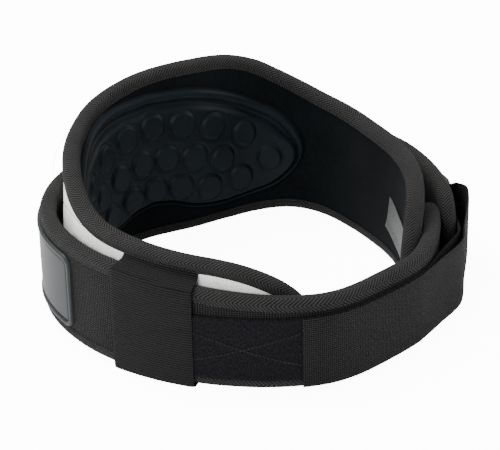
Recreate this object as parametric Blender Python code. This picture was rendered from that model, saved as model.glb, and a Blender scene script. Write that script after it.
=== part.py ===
# Weightlifting belt, standing closed as a loop.
# A contoured padded body goes round the waist. A lower padded band goes round its outside, and a pull strap
# closes it: the strap is sewn on the band's right end, folds through a ring on the left end and comes back.
#
# Metres, +Z up. The middle of the back points to +Y and the closure to -Y. The origin is under the middle of
# the loop, on the surface that the belt stands on.
#
# Places along the belt are lengths on the body's inner face from the middle of the back, positive towards
# the wearer's right. Places across it are offsets outwards from that face.

import math

import bmesh
import bpy
from mathutils import Matrix, Vector

# Loop: the inner face's length all round, and its plan as stations every 360/14 degrees from the back
INNER_GIRTH = 0.902
PLAN_REACH = [0.90, 0.98, 1.02, 1.01, 1.015, 1.06, 1.115, 1.085, 1.00, 0.96, 0.965, 1.04, 0.99, 0.86]
PLAN_STEPS = 720
# The middle of the back stands this far round from the plan's first station
PLAN_START = -0.0112
COLUMNS_ROUND = 44

# Layers
BODY_THICKNESS = 0.014
BAND_THICKNESS = 0.0135
LAYER_GAP = 0.0006
CLOTH_GAP = 0.0003
PADDING_GAP = 0.0005
PAD_BACK_GAP = 0.0006
FACING_THICKNESS = 0.001
TAPE_THICKNESS = 0.0012
TAPE_REACH = 0.0105
ROLL_FLAT = 0.0045

# Body: half its length, its height at the crown of the back, and the rounding of its ends
BODY_HALF_LENGTH = 0.395
BACK_HEIGHT = 0.165
BODY_END_UPPER = 0.080
BODY_END_LOWER = 0.100
END_TIP_SHARE = 0.55
# The loop stands a little skewed, so the crown leans to the left and the right flank runs out longer
BODY_TOP = [  # place as a share of the half length, height as a share of the back height
    (-1.00, 0.645), (-0.76, 0.675), (-0.62, 0.69), (-0.52, 0.705), (-0.44, 0.742), (-0.38, 0.803),
    (-0.325, 0.871), (-0.28, 0.928), (-0.21, 0.98), (-0.11, 1.00), (-0.02, 0.989), (0.07, 0.955),
    (0.14, 0.91), (0.19, 0.867), (0.25, 0.835), (0.33, 0.807), (0.41, 0.754), (0.48, 0.705),
    (0.56, 0.674), (0.68, 0.652), (0.84, 0.633), (1.00, 0.606),
]

# The lower edge arches up a little right of the back, and the left flank leans inwards with its height
ARCH_PLACE = -0.142
ARCH_LENGTH = 0.065
ARCH_HEIGHT = 0.0062
LEAN_PLACE = 0.140
LEAN_LENGTH = 0.095
LEAN_REACH = 0.0075
LEAN_HEIGHT = 0.120

# Outer band: its ends, its height at the back and at the ends, and where the change between them lies
BAND_RIGHT_END = 0.602
BAND_LEFT_END = -0.345
BAND_BACK_HEIGHT = 0.0905
BAND_END_HEIGHT = 0.078
BAND_TAPER_START = 0.230
BAND_TAPER_LENGTH = 0.190
BAND_END_UPPER = 0.034
BAND_END_LOWER = 0.058
BAND_DIP = 0.005
BAND_STEP_LEAD = 0.062
BAND_STEP_LENGTH = 0.095

# Lumbar pad
PAD_HALF_WIDTH = 0.154
PAD_TOP_MARGIN = 0.020
PAD_TOP_HEIGHT = BACK_HEIGHT - PAD_TOP_MARGIN
PAD_END_UPPER = 0.034
PAD_END_LOWER = 0.040
PAD_RIM_HEIGHT = 0.0062
PAD_RIM_WIDTH = 0.0115
PAD_GROOVE_HEIGHT = 0.0028
PAD_GROOVE_WIDTH = 0.0035
PAD_FIELD_HEIGHT = 0.0085
PAD_SHOULDER_WIDTH = 0.006
PAD_TIP = 0.50
PAD_UPPER = [(0.0, 1.0), (0.30, 0.975), (0.53, 0.90), (0.76, 0.79), (1.0, 0.67)]
PAD_LOWER = [(0.0, 0.245), (0.12, 0.225), (0.27, 0.172), (0.455, 0.145), (0.63, 0.165), (0.80, 0.215),
             (1.0, 0.30)]
DOT_DIAMETER = 0.1526 * PAD_HALF_WIDTH
DOT_HEIGHT = 0.0022
DOT_ROOT = 0.0022
DOT_SIDES = 10
PAD_DOTS = [  # place as a share of the pad's half width, height as a share of the pad's top height
    (0.0, 0.793), (0.197, 0.768), (0.395, 0.708), (0.615, 0.616),
    (0.088, 0.567), (0.265, 0.53), (0.455, 0.475), (0.782, 0.436),
    (0.0, 0.371), (0.173, 0.351), (0.357, 0.307), (0.585, 0.322),
]

# Patch on the outer band, right of the back
PATCH_MIDDLE = 0.115
PATCH_HALF_WIDTH = 0.089
PATCH_HEIGHT = 0.066
PATCH_CORNER = 0.010
PATCH_THICKNESS = 0.0018
PATCH_FRAME_WIDTH = 0.004
PATCH_FRAME_HEIGHT = 0.0012

# Elastic keeper on the right side
KEEPER_WIDTH = 0.063
KEEPER_PLACE = 0.2805
KEEPER_THICKNESS = 0.0016

# Pull strap, its ring and the loop that holds the ring
STRAP_WIDTH = 0.0615
STRAP_THICKNESS = 0.002
STRAP_BOTTOM = 0.0052
STRAP_TAIL = 0.060
STRAP_TAIL_BOTTOM = 0.0122
STRAP_TAIL_LEAD = 0.004
STRAP_WIDENS = 0.030
STRAP_HEM = 0.384
RING_WIRE = 0.0045
RING_LENGTH = 0.0275
RING_PLACE = 0.076
RING_STANDOFF = 0.0115
RING_CORNER = 0.004
RING_CLEARANCE = 0.0005
RING_END_ROOM = 0.0002
RING_SIDES = 8
HOLDER_THICKNESS = 0.0016
HOLDER_WIDTH = 0.058
HOLDER_BASE = 0.045
FOLD_STEPS = 7
# Where the strap bridges from its own end of the band to the ring, and how far its second leg stands off
STRAP_LEAVE = 0.055
STRAP_RISE = 0.012
STRAP_LAND = 0.006
STRAP_EASE = 0.0005
SWELL_NEAR = 0.0070
SWELL_FAR = 0.0080
SWELL_LENGTH = 0.018
SWELL_END = 0.0060
SWELL_LAND = 0.0040
STRAP_RETURN = 2.2
BRIDGE_STEPS = 3
FOLD_TURN = 160
HOLDER_TURN = 190

# Care label on the inner face near the left end
LABEL_LENGTH = 0.045
LABEL_HEIGHT = 0.032
LABEL_PLACE = -0.299
LABEL_MIDDLE = 0.042
LABEL_THICKNESS = 0.0006

# Columns near an end of an outline, as shares of the zone that they fill
END_ZONE = 0.060
END_ROWS = [0.0, 0.025, 0.117, 0.30, 0.567, 0.933]
NEAR_COLUMN = 0.004
SLOPE_STEP = 0.002
SMALLEST_RADIUS = 0.0005


# Curves
def smooth_table(rows, place):
    """Value at a place of a smooth curve through the rows of a table."""
    last = len(rows) - 1
    if place <= rows[0][0]:
        return rows[0][1]
    if place >= rows[last][0]:
        return rows[last][1]
    index = max(i for i in range(last) if rows[i][0] <= place)

    def slope(i):
        low, high = max(i - 1, 0), min(i + 1, last)
        return (rows[high][1] - rows[low][1]) / (rows[high][0] - rows[low][0])

    (x0, y0), (x1, y1) = rows[index], rows[index + 1]
    span = x1 - x0
    t = (place - x0) / span
    return (y0 * (1 + 2 * t) * (1 - t) ** 2 + span * slope(index) * t * (1 - t) ** 2
            + y1 * t * t * (3 - 2 * t) + span * slope(index + 1) * t * t * (t - 1))


def blend(value):
    """Smooth step from 0 to 1."""
    value = min(max(value, 0.0), 1.0)
    return value * value * (3 - 2 * value)


def closed_curve_value(values, turn):
    """Value at a share of a full turn of a smooth closed curve through evenly spaced values."""
    count = len(values)
    position = (turn % 1.0) * count
    index = int(position)
    t = position - index
    p0, p1, p2, p3 = (values[(index + k) % count] for k in (-1, 0, 1, 2))
    return 0.5 * (2 * p1 + (p2 - p0) * t + (2 * p0 - 5 * p1 + 4 * p2 - p3) * t * t
                  + (3 * p1 - p0 - 3 * p2 + p3) * t ** 3)


class Plan:
    """The inner face seen from above: a point and an outward direction for each place along it."""

    def __init__(self):
        raw = []
        for step in range(PLAN_STEPS):
            turn = step / PLAN_STEPS
            angle = math.radians(90) + 2 * math.pi * turn
            raw.append(Vector((math.cos(angle), math.sin(angle))) * closed_curve_value(PLAN_REACH, turn))
        length = sum((raw[i] - raw[i - 1]).length for i in range(PLAN_STEPS))
        self.points = [point * (INNER_GIRTH / length) for point in raw]
        self.places = [0.0]
        for i in range(1, PLAN_STEPS):
            self.places.append(self.places[-1] + (self.points[i] - self.points[i - 1]).length)

    def station(self, place):
        """Index before a place and the share of the way to the next point."""
        place = (place + PLAN_START) % INNER_GIRTH
        low, high = 0, PLAN_STEPS
        while high - low > 1:
            middle = (low + high) // 2
            if self.places[middle] <= place:
                low = middle
            else:
                high = middle
        end = INNER_GIRTH if low == PLAN_STEPS - 1 else self.places[low + 1]
        return low, (place - self.places[low]) / (end - self.places[low])

    def smooth_point(self, place, offset):
        low, share = self.station(place)
        position = self.points[low].lerp(self.points[(low + 1) % PLAN_STEPS], share)
        return position + self.outward(place) * offset

    def point(self, place, offset, lean_height=0.0):
        """Point on the facets that every layer shares, so that layers lie parallel between the columns."""
        column = math.floor(place / COLUMN_PITCH)
        share = place / COLUMN_PITCH - column
        before, after = column * COLUMN_PITCH, (column + 1) * COLUMN_PITCH
        first = self.smooth_point(before, offset - lean(before, lean_height))
        return first.lerp(self.smooth_point(after, offset - lean(after, lean_height)), share)

    def outward(self, place):
        low, share = self.station(place)

        def tangent(i):
            return (self.points[(i + 3) % PLAN_STEPS] - self.points[(i - 3) % PLAN_STEPS]).normalized()

        along = tangent(low).lerp(tangent(low + 1), share).normalized()
        return Vector((along.y, -along.x))


COLUMN_PITCH = INNER_GIRTH / COLUMNS_ROUND
PLAN = Plan()


def lean(place, height):
    """Distance that the body leans inwards at a height."""
    return LEAN_REACH * blend(1 - abs(place - LEAN_PLACE) / LEAN_LENGTH) * height / LEAN_HEIGHT


def flat_base(place):
    """Offset of a piece that lies on the inner face."""
    return 0.0


def band_base(place):
    """Offset of the outer band's inner side, straight between the columns."""
    column = math.floor(place / COLUMN_PITCH)
    share = place / COLUMN_PITCH - column
    before, after = smooth_band_base(column * COLUMN_PITCH), smooth_band_base((column + 1) * COLUMN_PITCH)
    return before + (after - before) * share


def smooth_band_base(place):
    """The band lies on the body, dips where the body ends and steps out over its own right end."""
    offset = BODY_THICKNESS + LAYER_GAP
    gap_start = BODY_HALF_LENGTH + LAYER_GAP
    gap_end = INNER_GIRTH - BODY_HALF_LENGTH - LAYER_GAP
    if gap_start < place < gap_end:
        offset -= BAND_DIP * math.sin(math.pi * (place - gap_start) / (gap_end - gap_start)) ** 2
    step_end = BAND_RIGHT_END - INNER_GIRTH + BAND_STEP_LEAD
    offset += (BAND_THICKNESS + LAYER_GAP) * blend((step_end + BAND_STEP_LENGTH - place) / BAND_STEP_LENGTH)
    return offset


def body_top(place):
    return BACK_HEIGHT * smooth_table(BODY_TOP, place / BODY_HALF_LENGTH)


def body_bottom(place):
    return ARCH_HEIGHT * blend(1 - abs(place - ARCH_PLACE) / ARCH_LENGTH)


def band_bottom(place):
    return KEEPER_THICKNESS + CLOTH_GAP


def band_top(place):
    taper = blend((abs(place) - BAND_TAPER_START) / BAND_TAPER_LENGTH)
    return band_bottom(place) + BAND_BACK_HEIGHT + (BAND_END_HEIGHT - BAND_BACK_HEIGHT) * taper


# Outlines: columns from one end to the other, each with an upper and a lower point
class Outline:
    def __init__(self, left, right, top, bottom, upper, lower, tip_share, leans=False):
        self.left, self.right, self.leans = left, right, leans
        self.top, self.bottom = top, bottom
        self.upper, self.lower = upper, lower
        self.tip_share = tip_share
        self.columns = [left + row * END_ZONE for row in END_ROWS]
        first = math.ceil((left + END_ZONE) / COLUMN_PITCH)
        last = math.floor((right - END_ZONE) / COLUMN_PITCH)
        self.columns += [COLUMN_PITCH * k for k in range(first, last + 1)]
        self.columns += [right - row * END_ZONE for row in reversed(END_ROWS)]

    def rounding(self, distance, reach, height, inset):
        """Drop of a rounded corner at a distance from the end of the outline."""
        reach, height = max(reach - inset, 2 * SMALLEST_RADIUS), height - inset
        if distance >= reach:
            return 0.0
        return height * (1 - math.sqrt(max(0.0, 1 - (1 - distance / reach) ** 2)))

    def ring(self, inset):
        """Points (place, height) round the outline, the upper row and then the lower row back."""
        upper, lower = [], []
        for column in self.columns:
            place = column
            if column - self.left < END_ZONE:
                place += inset * (1 - (column - self.left) / END_ZONE)
            if self.right - column < END_ZONE:
                place -= inset * (1 - (self.right - column) / END_ZONE)
            nearer = min(place - self.left, self.right - place) - inset
            end = self.left if place - self.left < self.right - place else self.right
            tip = self.bottom(end) + (self.top(end) - self.bottom(end)) * self.tip_share
            drop = self.rounding(nearer, self.upper, self.top(end) - tip, inset)
            rise = self.rounding(nearer, self.lower, tip - self.bottom(end), inset)
            slope = (self.top(place + SLOPE_STEP) - self.top(place - SLOPE_STEP)) / (2 * SLOPE_STEP)
            floor = (self.bottom(place + SLOPE_STEP) - self.bottom(place - SLOPE_STEP)) / (2 * SLOPE_STEP)
            upper.append((place, self.top(place) - inset * math.hypot(1, slope) - drop))
            lower.append((place, self.bottom(place) + inset * math.hypot(1, floor) + rise))
        first = (upper[0][0], 0.5 * (upper[0][1] + lower[0][1]))
        last = (upper[-1][0], 0.5 * (upper[-1][1] + lower[-1][1]))
        return [first] + upper[1:-1] + [last] + lower[-2:0:-1]


# Meshes
def material(name, colour, roughness, metallic=0.0):
    made = bpy.data.materials.new(name)
    made.use_nodes = True
    surface = made.node_tree.nodes["Principled BSDF"]
    surface.inputs["Base Color"].default_value = (*colour, 1.0)
    surface.inputs["Roughness"].default_value = roughness
    surface.inputs["Metallic"].default_value = metallic
    made.diffuse_color = (*colour, 1.0)
    return made


def new_object(name, mesh, look):
    made = bpy.data.objects.new(name, mesh)
    bpy.context.scene.collection.objects.link(made)
    mesh.materials.append(look)
    return made


def finish_mesh(name, work, look):
    """Turn a bmesh into an object with its faces pointing out."""
    bmesh.ops.recalc_face_normals(work, faces=work.faces[:])
    if work.calc_volume(signed=True) < 0:
        bmesh.ops.reverse_faces(work, faces=work.faces[:])
    mesh = bpy.data.meshes.new(name)
    work.to_mesh(mesh)
    work.free()
    return new_object(name, mesh, look)


def wall_point(place, offset, height, leans=False):
    flat = PLAN.point(place, offset, height if leans else 0.0)
    return Vector((flat.x, flat.y, height))


def edge_ring(work, outline, base, inset, offset):
    return [work.verts.new(wall_point(place, base(place) + offset, height, outline.leans))
            for place, height in outline.ring(inset)]


def join_rings(work, first, second):
    count = len(first)
    for i in range(count):
        j = (i + 1) % count
        work.faces.new((first[i], first[j], second[j], second[i]))


def ladder(work, ring):
    """Fill a ring by rungs between its upper and its lower row."""
    half = len(ring) // 2
    work.faces.new((ring[0], ring[1], ring[-1]))
    for i in range(1, half - 1):
        work.faces.new((ring[i], ring[i + 1], ring[-i - 1], ring[-i]))
    work.faces.new((ring[half - 1], ring[half], ring[half + 1]))


def plate(name, outline, base, section, look):
    """Solid with this section across its edge and its two sides filled."""
    work = bmesh.new()
    rings = [edge_ring(work, outline, base, inset, offset) for inset, offset in section]
    for first, second in zip(rings, rings[1:]):
        join_rings(work, first, second)
    ladder(work, rings[0])
    ladder(work, rings[-1])
    return finish_mesh(name, work, look)


def edging(name, outline, base, section, look):
    """Closed tape: this closed section run all round the outline."""
    work = bmesh.new()
    rings = [edge_ring(work, outline, base, inset, offset) for inset, offset in section]
    for first, second in zip(rings, rings[1:] + rings[:1]):
        join_rings(work, first, second)
    return finish_mesh(name, work, look)


def tape_section(thickness):
    """Section of a tape rolled over an edge, as (inset, offset), outside first and then its inside."""
    roll = 0.5 * (thickness - ROLL_FLAT)
    inner_roll = roll + 0.5 * TAPE_THICKNESS
    outside = [(TAPE_REACH, 0.0), (roll, 0.0), (0.0, roll), (0.0, thickness - roll), (roll, thickness),
               (TAPE_REACH, thickness)]
    inside = [(TAPE_REACH, thickness - TAPE_THICKNESS), (inner_roll, thickness - TAPE_THICKNESS),
              (TAPE_THICKNESS, thickness - inner_roll), (TAPE_THICKNESS, inner_roll),
              (inner_roll, TAPE_THICKNESS), (TAPE_REACH, TAPE_THICKNESS)]
    return outside + inside


def core_section(thickness, outer_face):
    """Section of the padding that the tape covers, as (inset, offset), from its inner to its outer side."""
    cover = TAPE_THICKNESS + PADDING_GAP
    roll = 0.5 * (thickness - ROLL_FLAT) + 0.5 * cover
    inset = TAPE_REACH + CLOTH_GAP
    return [(inset, 0.0), (inset, cover), (roll, cover), (cover, roll), (cover, thickness - roll),
            (roll, thickness - cover), (inset, thickness - cover), (inset, outer_face)]


def padded_piece(name, outline, base, thickness, outer_face, core_look, tape_look):
    core = plate(name, outline, base, core_section(thickness, outer_face), core_look)
    tape = edging(name + "_binding", outline, base, tape_section(thickness), tape_look)
    return core, tape


# Ribbons stand on edge: a path seen from above with a lower height at each point, a thickness and a top
def ribbon(name, path, thickness, bottoms, top, look):
    work = bmesh.new()
    rows = []
    for i, (point, bottom) in enumerate(zip(path, bottoms)):
        before, after = path[max(i - 1, 0)], path[min(i + 1, len(path) - 1)]
        along = (after - before).normalized()
        side = Vector((along.y, -along.x)) * (0.5 * thickness)
        corners = [(point - side, bottom), (point + side, bottom), (point + side, top), (point - side, top)]
        rows.append([work.verts.new((flat.x, flat.y, height)) for flat, height in corners])
    for first, second in zip(rows, rows[1:]):
        join_rings(work, first, second)
    work.faces.new(rows[0])
    work.faces.new(rows[-1])
    return finish_mesh(name, work, look)


def smooth_path(points, steps):
    """Smooth curve through chosen points, with this many steps between each pair."""
    made = []
    for i in range(len(points) - 1):
        p0, p1 = points[max(i - 1, 0)], points[i]
        p2, p3 = points[i + 1], points[min(i + 2, len(points) - 1)]
        for step in range(steps):
            t = step / steps
            made.append(0.5 * (2 * p1 + (p2 - p0) * t + (2 * p0 - 5 * p1 + 4 * p2 - p3) * t * t
                               + (3 * p1 - p0 - 3 * p2 + p3) * t ** 3))
    return made + [points[-1]]


def columns_between(low, high):
    first = math.ceil(low / COLUMN_PITCH)
    last = math.floor(high / COLUMN_PITCH)
    return [COLUMN_PITCH * k for k in range(first, last + 1)]


# Sub-parts
def make_body(looks):
    outline = Outline(-BODY_HALF_LENGTH, BODY_HALF_LENGTH, body_top, body_bottom,
                      BODY_END_UPPER, BODY_END_LOWER, END_TIP_SHARE, leans=True)
    outer_face = BODY_THICKNESS - FACING_THICKNESS - CLOTH_GAP
    padded_piece("inner_body", outline, flat_base, BODY_THICKNESS, outer_face,
                 looks["lining"], looks["tape"])
    inset = TAPE_REACH + CLOTH_GAP
    section = [(inset, BODY_THICKNESS - FACING_THICKNESS), (inset, BODY_THICKNESS)]
    plate("outer_facing", outline, flat_base, section, looks["facing"])


def make_band(looks):
    outline = Outline(BAND_LEFT_END, BAND_RIGHT_END, band_top, band_bottom,
                      BAND_END_UPPER, BAND_END_LOWER, END_TIP_SHARE)
    padded_piece("outer_band", outline, band_base, BAND_THICKNESS, BAND_THICKNESS,
                 looks["canvas"], looks["tape"])


def make_pad(looks):
    def top(place):
        return PAD_TOP_HEIGHT * smooth_table(PAD_UPPER, abs(place) / PAD_HALF_WIDTH)

    def bottom(place):
        return PAD_TOP_HEIGHT * smooth_table(PAD_LOWER, abs(place) / PAD_HALF_WIDTH)

    tip = (PAD_TIP - PAD_LOWER[-1][1]) / (PAD_UPPER[-1][1] - PAD_LOWER[-1][1])
    outline = Outline(-PAD_HALF_WIDTH, PAD_HALF_WIDTH, top, bottom, PAD_END_UPPER, PAD_END_LOWER, tip,
                      leans=True)
    groove = PAD_RIM_WIDTH
    shoulder = groove + PAD_GROOVE_WIDTH
    section = [(0.0, -PAD_BACK_GAP), (0.0, -0.5 * PAD_RIM_HEIGHT), (0.25 * groove, -PAD_RIM_HEIGHT),
               (0.7 * groove, -PAD_RIM_HEIGHT), (groove, -PAD_GROOVE_HEIGHT),
               (shoulder, -PAD_GROOVE_HEIGHT), (shoulder + PAD_SHOULDER_WIDTH, -PAD_FIELD_HEIGHT)]
    pad = plate("lumbar_pad", outline, flat_base, section, looks["moulded"])
    places = [(side * across * PAD_HALF_WIDTH, up * PAD_TOP_HEIGHT)
              for across, up in PAD_DOTS for side in ((1,) if across == 0 else (1, -1))]
    work = bmesh.new()
    for place, height in places:
        add_dot(work, place, height)
    dots = finish_mesh("pad_dots", work, looks["moulded"])
    union = pad.modifiers.new("dots", "BOOLEAN")
    union.operation = "UNION"
    union.object = dots
    union.solver = "EXACT"
    dots.hide_render = True
    dots.display_type = "WIRE"


def add_dot(work, place, height):
    """Round disc that stands on the pad's field, sunk into it."""
    centre = wall_point(place, -PAD_FIELD_HEIGHT, height, True)
    outward = PLAN.outward(place)
    across = Vector((outward.y, -outward.x, 0.0))
    up = (wall_point(place, -PAD_FIELD_HEIGHT, height + SLOPE_STEP, True) - centre).normalized()
    inward = across.cross(up)
    rows = []
    root = DOT_ROOT - PAD_FIELD_HEIGHT
    for depth, radius in ((root, 1.0), (0.6 * DOT_HEIGHT, 1.0), (DOT_HEIGHT, 0.88)):
        row = []
        for k in range(DOT_SIDES):
            angle = 2 * math.pi * k / DOT_SIDES
            spoke = across * math.cos(angle) + up * math.sin(angle)
            row.append(work.verts.new(centre + inward * depth + spoke * (0.5 * DOT_DIAMETER * radius)))
        rows.append(row)
    for first, second in zip(rows, rows[1:]):
        join_rings(work, first, second)
    work.faces.new(rows[0])
    work.faces.new(rows[-1])


def make_patch(looks):
    def middle(place):
        return band_bottom(place) + 0.5 * BAND_BACK_HEIGHT

    def top(place):
        return middle(place) + 0.5 * PATCH_HEIGHT

    def bottom(place):
        return middle(place) - 0.5 * PATCH_HEIGHT

    def base(place):
        return band_base(place) + BAND_THICKNESS

    outline = Outline(PATCH_MIDDLE - PATCH_HALF_WIDTH, PATCH_MIDDLE + PATCH_HALF_WIDTH, top, bottom,
                      PATCH_CORNER, PATCH_CORNER, 0.5)
    raised = CLOTH_GAP + PATCH_THICKNESS + PATCH_FRAME_HEIGHT
    sheet = CLOTH_GAP + PATCH_THICKNESS
    section = [(0.0, CLOTH_GAP), (0.0, raised), (PATCH_FRAME_WIDTH, raised), (PATCH_FRAME_WIDTH, sheet)]
    plate_with_corners("rubber_patch", outline, base, section, looks["patch"])


def plate_with_corners(name, outline, base, section, look):
    """Plate whose ends stay upright between small rounded corners."""
    work = bmesh.new()
    rings = []
    for inset, offset in section:
        rings.append([work.verts.new(wall_point(place, base(place) + offset, height))
                      for place, height in corner_ring(outline, inset)])
    for first, second in zip(rings, rings[1:]):
        join_rings(work, first, second)
    half = len(rings[0]) // 2
    for ring in (rings[0], rings[-1]):
        for i in range(half - 1):
            work.faces.new((ring[i], ring[i + 1], ring[-i - 2], ring[-i - 1]))
    return finish_mesh(name, work, look)


def corner_ring(outline, inset):
    """Upper row and then lower row back, with three points on each rounded corner."""
    radius = max(outline.upper - inset, SMALLEST_RADIUS)
    upper, lower = [], []
    angles = [math.radians(a) for a in (0, 45, 90)]
    left = [outline.left + inset + radius * (1 - math.sin(a)) for a in angles]
    drops = [radius * (1 - math.cos(a)) for a in angles]
    inner = columns_between(left[0] + NEAR_COLUMN, outline.right - inset - radius - NEAR_COLUMN)
    right = [outline.right - inset - radius * (1 - math.sin(a)) for a in angles]
    places = list(zip(left[::-1], drops[::-1])) + [(column, 0.0) for column in inner]
    places += list(zip(right, drops))
    for place, drop in places:
        upper.append((place, outline.top(place) - inset - drop))
        lower.append((place, outline.bottom(place) + inset + drop))
    return upper + lower[::-1]


def make_keeper(looks):
    """Elastic loop: sewn under the body's binding, over the band, down its face and in below it."""
    work = bmesh.new()
    half = 0.5 * KEEPER_WIDTH
    low, high = KEEPER_PLACE - half, KEEPER_PLACE + half
    places = [low] + columns_between(low + NEAR_COLUMN, high - NEAR_COLUMN) + [high]
    rings = []
    for place in places:
        inner, outer = keeper_lines(place)
        rings.append([work.verts.new(wall_point(place, offset, height))
                      for offset, height in inner + outer[::-1]])
    for first, second in zip(rings, rings[1:]):
        join_rings(work, first, second)
    for ring in (rings[0], rings[-1]):
        rows = len(ring) // 2
        for i in range(rows - 1):
            work.faces.new((ring[i], ring[i + 1], ring[-i - 2], ring[-i - 1]))
    return finish_mesh("keeper", work, looks["elastic"])


def keeper_lines(place):
    """The keeper's inner and outer line in a slice across the belt, as (offset, height), from its top end.

    It runs over the band and over the tail of the strap.
    """
    thick = KEEPER_THICKNESS
    roll = 0.5 * (BAND_THICKNESS - ROLL_FLAT)
    near = BODY_THICKNESS + CLOTH_GAP
    band_in = band_base(place)
    band_out = band_in + BAND_THICKNESS + STRAP_THICKNESS + 3 * CLOTH_GAP
    top = band_top(place) + CLOTH_GAP
    bottom = band_bottom(place) - CLOTH_GAP
    head = body_top(place) - TAPE_REACH - CLOTH_GAP
    inner = [(near, head), (near, top + thick), (near, top), (band_out - roll, top), (band_out, top - roll),
             (band_out, bottom + roll), (band_out - roll, bottom), (near + roll, bottom)]
    outer = [(near + thick, head), (near + thick, top + 1.5 * thick), (near + 1.5 * thick, top + thick),
             (band_out - roll + 0.4 * thick, top + thick), (band_out + thick, top - roll + 0.4 * thick),
             (band_out + thick, bottom + roll - 0.4 * thick),
             (band_out - roll + 0.4 * thick, bottom - thick), (near + roll, bottom - thick)]
    return inner, outer


def ring_bars():
    """Plan places of the ring's two upright bars: the holder's and the strap's."""
    place = BAND_LEFT_END + RING_PLACE
    offset = band_base(place) + BAND_THICKNESS + RING_STANDOFF
    centre = PLAN.point(place, offset)
    outward = PLAN.outward(place)
    along = Vector((outward.y, -outward.x))
    reach = 0.5 * (RING_LENGTH - RING_WIRE)
    return centre - along * reach, centre + along * reach, along, outward


def make_ring(looks):
    """Rectangular wire ring standing on edge."""
    far, near, along, outward = ring_bars()
    middle = 0.5 * (far + near)
    half_long = 0.5 * STRAP_WIDTH + RING_CLEARANCE + 0.5 * RING_WIRE + RING_END_ROOM
    half_wide = 0.5 * (far - near).length
    centre_height = STRAP_BOTTOM + 0.5 * STRAP_WIDTH
    path = []
    for sign_wide, sign_long, start in ((1, 1, 0), (-1, 1, 90), (-1, -1, 180), (1, -1, 270)):
        for angle in (0, 30, 60, 90):
            turn = math.radians(start + angle)
            wide = sign_wide * (half_wide - RING_CORNER) + RING_CORNER * math.cos(turn)
            long = sign_long * (half_long - RING_CORNER) + RING_CORNER * math.sin(turn)
            path.append((wide, long))
    work = bmesh.new()
    rings = []
    for i, (wide, long) in enumerate(path):
        before, after = path[i - 1], path[(i + 1) % len(path)]
        run = Vector((after[0] - before[0], after[1] - before[1])).normalized()
        side = Vector((run.y, -run.x))
        row = []
        for k in range(RING_SIDES):
            angle = 2 * math.pi * (k + 0.5) / RING_SIDES
            out = 0.5 * RING_WIRE * math.cos(angle)
            deep = 0.5 * RING_WIRE * math.sin(angle)
            flat = middle + along * (wide + side.x * out) + outward * deep
            row.append(work.verts.new((flat.x, flat.y, centre_height + long + side.y * out)))
        rings.append(row)
    for first, second in zip(rings, rings[1:] + rings[:1]):
        join_rings(work, first, second)
    return finish_mesh("ring", work, looks["ring"])


def fold_round(bar, start_angle, end_angle, radius):
    """Points of a half turn round a bar, seen from above."""
    made = []
    for k in range(FOLD_STEPS):
        angle = start_angle + (end_angle - start_angle) * k / (FOLD_STEPS - 1)
        made.append(bar + Vector((math.cos(angle), math.sin(angle))) * radius)
    return made


def make_holder(looks):
    """Webbing loop: sewn on the band's left end, round the ring's first bar and back on itself."""
    far, near, along, outward = ring_bars()
    place = BAND_LEFT_END + RING_PLACE
    seam = place + RING_LENGTH
    base = [seam + HOLDER_BASE] + columns_between(seam + NEAR_COLUMN, seam + HOLDER_BASE - NEAR_COLUMN)[::-1]
    radius = 0.5 * RING_WIRE + RING_CLEARANCE + 0.5 * HOLDER_THICKNESS
    facing = math.atan2(along.y, along.x)
    turn = fold_round(far, facing - math.radians(90), facing + math.radians(HOLDER_TURN - 90), radius)
    if (turn[0] - PLAN.point(place, 0.0)).length > (turn[-1] - PLAN.point(place, 0.0)).length:
        turn.reverse()
    under = BAND_THICKNESS + CLOTH_GAP + 0.5 * HOLDER_THICKNESS
    over = under + HOLDER_THICKNESS + CLOTH_GAP
    path = [PLAN.point(spot, band_base(spot) + under) for spot in base]
    path += turn
    path += [PLAN.point(spot, band_base(spot) + over) for spot in reversed(base)]
    middle = STRAP_BOTTOM + 0.5 * STRAP_WIDTH
    bottom = middle - 0.5 * HOLDER_WIDTH
    return ribbon("ring_holder", path, HOLDER_THICKNESS, [bottom] * len(path), bottom + HOLDER_WIDTH,
                  looks["webbing"])


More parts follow.
